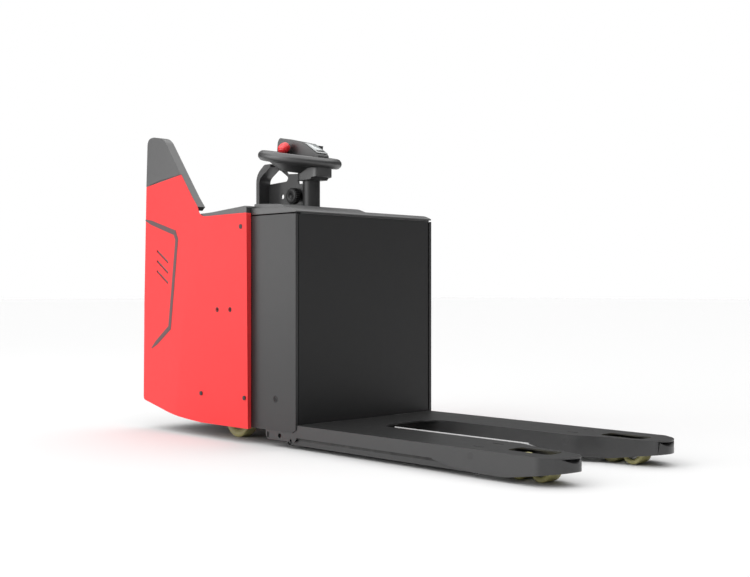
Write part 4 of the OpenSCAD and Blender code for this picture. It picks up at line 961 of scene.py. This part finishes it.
class TRUCK_OT_control_head(bpy.types.Operator):
    """Control head: moulded shell, grip ring, display, buttons, emergency stop and throttle"""
    bl_idname = "truck.control_head"
    bl_label = "Control head"

    def execute(self, context):
        place = head_matrix()
        for name, width, steps in (("head_shell", 0.0028, 3), ("throttle", 0.0018, 3), ("lift_rocker", 0.001, 2),
                                   ("key_switch", 0.0006, 2)):
            rounded(name, width, steps)
        self.grip(place)
        self.display(place)
        self.stop(place)
        self.buttons(place)
        return {"FINISHED"}

    def grip(self, place):
        """Grip ring of soft rubber with two shallow parting grooves."""
        low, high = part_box("grip_ring")
        outer = (high.y - low.y) / 2
        ring = outer - GRIP_BAR
        profile = []
        for i in range(40):
            a = 2 * math.pi * i / 40
            dent = 0.0009 if i in (5, 35) else 0.0
            profile.append((ring + (GRIP_BAR - dent) * math.cos(a), (GRIP_BAR - dent) * math.sin(a)))
        loop = placed(lathe(profile, 144), place)
        add_piece("grip_ring_rubber", loop, "control_head", "black_plastic", "moulded_grey", ("grip_ring",))

    def display(self, place):
        """Sloping display: frame, screen and a row of four small keys beside the screen."""
        low, high = Vector(DISPLAY_TOP), Vector(DISPLAY_FOOT)
        along = (high - low).normalized()
        up = Vector((0, 1, 0)).cross(-along).normalized()
        turn = Matrix((along, Vector((0, 1, 0)), along.cross(Vector((0, 1, 0))))).transposed().to_4x4()
        local = place @ Matrix.Translation((low + high) / 2) @ turn
        span = (high - low).length
        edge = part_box("display_cover")
        half = (edge[1].y - edge[0].y) / 2
        plate = placed(rounded_box((-span / 2, -half, -0.0021), (span / 2, half, 0.0008), 0.0007), local)
        add_piece("display_frame", plate, "control_head", "display_face", replaces=("display_cover",))
        glass = placed(rounded_box((-span / 2 + 0.012, -half + 0.006, 0.0), (span / 2 - 0.026, half - 0.006, 0.0014),
                                   0.0004), local)
        add_piece("display_screen", glass, "control_head", "display_face", "screen_glass")
        keys = joined([placed(rounded_box((span / 2 - 0.021, y - 0.0045, 0.0), (span / 2 - 0.009, y + 0.0045, 0.0022),
                                          0.0009), local) for y in (-0.0155, -0.005, 0.0055, 0.016)])
        add_piece("display_keys", keys, "control_head", "black_plastic")

    def stop(self, place):
        """Mushroom of the emergency stop with a finger groove and ribs round its rim."""
        seat = Matrix.Translation(STOP_SEAT) @ Matrix.Rotation(math.radians(STOP_LEAN), 4, "X")
        r = 0.026
        head = lathe([(0, -0.004), (0.008, -0.004), (0.008, 0.0195), (r - 0.006, 0.02), (r - 0.001, 0.0265),
                      (r, 0.03), (r, 0.037), (r - 0.0012, 0.0415), (r - 0.0045, 0.0462), (r - 0.009, 0.0488),
                      (r - 0.014, 0.0497), (r - 0.019, 0.0493), (0, 0.049)], 64)
        ribs = []
        for i in range(28):
            a = 2 * math.pi * i / 28
            ribs.append(placed(rounded_box((r - 0.0014, -0.0011, 0.0295), (r + 0.0002, 0.0011, 0.0385), 0.0004, 1),
                               Matrix.Rotation(a, 4, "Z")))
        whole = placed(joined([head, *ribs]), place @ seat)
        piece = add_piece("estop_mushroom", whole, "estop_button", "estop_red", replaces=("estop_button",))
        piece.data.set_sharp_from_angle(angle=math.radians(40))

    def buttons(self, place):
        """Horn button cap and a row of small keys in front of the display."""
        horn = Vector(HORN_SEAT)
        cap = placed(lathe([(0, 0), (0.009, 0), (0.009, 0.0095), (0.0082, 0.0112), (0.0065, 0.012), (0, 0.0123)], 40),
                     place @ Matrix.Translation(horn))
        add_piece("horn_cap", cap, "horn_button", "black_plastic", replaces=("horn_button",))
        ring = placed(lathe([(0.0096, 0), (0.0125, 0), (0.0122, 0.0016), (0.0096, 0.0016)], 40),
                      place @ Matrix.Translation(horn + Vector((0, 0, 0.0042))))
        keys = [placed(rounded_box((0.068, y - 0.005, 0.008), (0.088, y + 0.005, 0.0155), 0.0016), place)
                for y in (-0.052, -0.068, 0.052, 0.068)]
        whole = joined([ring, *keys])
        add_piece("head_keys", whole, "control_head", "black_plastic")


class TRUCK_OT_floor_mat(bpy.types.Operator):
    """Floor plate with a studded rubber mat"""
    bl_idname = "truck.floor_mat"
    bl_label = "Floor mat"

    def execute(self, context):
        s = sizes()
        rounded("floor_plate", s.plate_edge, material="rubber_mat")
        low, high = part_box("floor_plate")
        margin = 0.03
        height = 0.0022
        shape = shape_object("stud_shape", stud(s.stud_radius, height))
        base = bpy.data.meshes.new("mat_base")
        base.from_pydata([(0, 0, 0)], [], [])
        mesh = run_tree(stud_field(), base, {
            "Stud": shape, "Length": high.x - low.x - 2 * margin, "Width": high.y - low.y - 2 * margin,
            "Pitch": s.stud_pitch, "Finish": finish_of("rubber_mat")})
        mesh.transform(Matrix.Translation(((low.x + high.x) / 2, (low.y + high.y) / 2 - s.stud_pitch / 4, high.z)))
        mesh.name = "floor_mat_studs"
        new_piece("floor_mat_studs", mesh, "floor_plate", "black_paint", "rubber_mat")
        return {"FINISHED"}


class TRUCK_OT_fasteners(bpy.types.Operator):
    """Screws of the covers and panels, and the rings round their holes"""
    bl_idname = "truck.fasteners"
    bl_label = "Fasteners"

    def execute(self, context):
        screw = shape_object("cover_screw", socket_screw(0.006))
        low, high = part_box("console_rear_panel")
        wall = high.x - 0.0035
        spots = [((wall, y, z), (-1, 0, 0), (0, 1, 0)) for y in (low.y + 0.03, high.y - 0.03)
                 for z in (low.z + 0.04, (low.z + high.z) / 2, high.z - 0.05)]
        spots += [((low.x, y, z), (-1, 0, 0), (0, 1, 0)) for y in (-0.03, 0.03)
                  for z in (high.z - 0.15, high.z - 0.03)]
        scatter("panel_screws", screw, spots, "chassis", "black_paint", "zinc")
        self.grommets()
        bolt = shape_object("pillar_bolt", socket_screw(0.0085))
        for side in ("right", "left"):
            low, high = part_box("pillar_" + side)
            outer, sign = (low.y, -1) if side == "right" else (high.y, 1)
            x, z = high.x - PILLAR_BOLT[0], PILLAR_BOLT[1]
            spot = [((x, outer - sign * 0.0035, z), (0, sign, 0), (1, 0, 0))]
            scatter("pillar_bolt_" + side, bolt, spot, "load_frame", "black_paint", "black_plastic")
            ring = placed(lathe([(0.0088, -0.001), (0.0125, -0.001), (0.0125, 0.0006), (0.0115, 0.0012),
                                 (0.0088, 0.0012)], 40), facing(Vector((x, outer, z)), (0, sign, 0)))
            add_piece("pillar_grommet_" + side, ring, "load_frame", "black_plastic", "rubber_mat")
        return {"FINISHED"}

    def grommets(self):
        """Dark rings round the accessory holes and black caps on the panels' bolts."""
        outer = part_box("side_panel_right")[0].y
        x_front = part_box("front_panel")[1].x + 0.002
        rings = [placed(lathe([(0.0057, -0.0005), (0.0095, -0.0005), (0.0095, 0.0004), (0.0088, 0.001),
                               (0.0057, 0.001)], 40), facing(Vector((x_front + x, outer, z)), (0, -1, 0)))
                 for x, z in ACCESSORY_HOLES]
        whole = joined(rings)
        add_piece("accessory_grommets", whole, "chassis", "black_plastic", "rubber_mat")
        NODES["panel_bolts"].data.materials.clear()
        NODES["panel_bolts"].data.materials.append(finish_of("black_plastic"))


class TRUCK_OT_stage(bpy.types.Operator):
    """Pale floor, soft studio light and the camera"""
    bl_idname = "truck.stage"
    bl_label = "Stage"

    def execute(self, context):
        self.floor()
        self.lights()
        self.camera()
        return {"FINISHED"}

    def floor(self):
        size = 60.0
        mesh = bpy.data.meshes.new("studio_floor")
        z = CAD_BOX[0][2] - 0.0004
        mesh.from_pydata([(-size, -size, z), (size, -size, z), (size, size, z), (-size, size, z)], [], [(0, 1, 2, 3)])
        floor = stand("studio_floor", mesh)
        material = bpy.data.materials.new("studio_white")
        material.use_nodes = True
        shader = material.node_tree.nodes["Principled BSDF"]
        shader.inputs["Base Color"].default_value = (0.66, 0.66, 0.66, 1)
        shader.inputs["Roughness"].default_value = 0.9
        shader.inputs["Specular IOR Level"].default_value = 0.1
        mesh.materials.append(material)

    def lights(self):
        for name, strength, angle, pitch, yaw in (("overhead", 3.9, 110, 0, 0), ("side_key", 1.2, 60, 68, -12)):
            data = bpy.data.lights.new(name, "SUN")
            data.energy = strength
            data.angle = math.radians(angle)
            stand(name, data).rotation_euler = (math.radians(pitch), 0, math.radians(yaw))
        data = bpy.data.lights.new("softbox", "AREA")
        data.shape = "RECTANGLE"
        data.size, data.size_y = 6.0, 2.6
        data.energy = 90
        lamp = stand("softbox", data)
        lamp.location = (-3.0, -4.1, 1.6)
        lamp.rotation_euler = (Vector((0, 0, 0.6)) - lamp.location).to_track_quat("-Z", "Y").to_euler()
        lamp.visible_camera = False
        world = bpy.data.worlds.new("studio")
        bpy.context.scene.world = world
        world.use_nodes = True
        tree = world.node_tree
        tree.nodes.clear()
        seen = node(tree, "ShaderNodeBackground", Color=(1, 1, 1, 1), Strength=1.0)
        fill = node(tree, "ShaderNodeBackground", Color=(1, 1, 1, 1), Strength=0.12)
        path = node(tree, "ShaderNodeLightPath")
        mixed = node(tree, "ShaderNodeMixShader", {0: path.outputs["Is Camera Ray"], 1: fill.outputs[0],
                                                   2: seen.outputs[0]})
        out = tree.nodes.new("ShaderNodeOutputWorld")
        tree.links.new(mixed.outputs[0], out.inputs["Surface"])

    def camera(self):
        data = bpy.data.cameras.new("camera")
        data.lens = 53.4
        data.sensor_width = 36
        data.clip_end = 200
        camera = stand("camera", data)
        camera.location = (2.969, -2.960, 0.577)
        camera.rotation_euler = (math.radians(90.06), 0, math.radians(45.47))
        bpy.context.scene.camera = camera
        bpy.context.scene.view_settings.view_transform = "Standard"


class TRUCK_PT_panel(bpy.types.Panel):
    """Lists the truck's pieces, sizes and colours"""
    bl_idname = "TRUCK_PT_panel"
    bl_label = "Pallet truck"
    bl_space_type = "VIEW_3D"
    bl_region_type = "UI"
    bl_category = "Truck"

    def draw(self, context):
        for group in (context.scene.truck_colours, context.scene.truck_sizes):
            for key in group.__annotations__:
                self.layout.prop(group, key)
        for operator in PIECES:
            self.layout.operator(operator.bl_idname)


PIECES = (TRUCK_OT_frame_finishes, TRUCK_OT_body_shell, TRUCK_OT_moulded_covers, TRUCK_OT_forks, TRUCK_OT_wheels,
          TRUCK_OT_backrest_pad, TRUCK_OT_column, TRUCK_OT_control_head, TRUCK_OT_floor_mat, TRUCK_OT_fasteners,
          TRUCK_OT_stage)
CLASSES = (TruckColours, TruckSizes, *PIECES, TRUCK_PT_panel)


def register():
    for cls in CLASSES:
        bpy.utils.register_class(cls)
    bpy.types.Scene.truck_colours = PointerProperty(type=TruckColours)
    bpy.types.Scene.truck_sizes = PointerProperty(type=TruckSizes)


def unregister():
    del bpy.types.Scene.truck_sizes
    del bpy.types.Scene.truck_colours
    for cls in reversed(CLASSES):
        bpy.utils.unregister_class(cls)


def main():
    register()
    for operator in PIECES:
        group, name = operator.bl_idname.split(".")
        getattr(getattr(bpy.ops, group), name)()


if __name__ == "__main__":
    main()
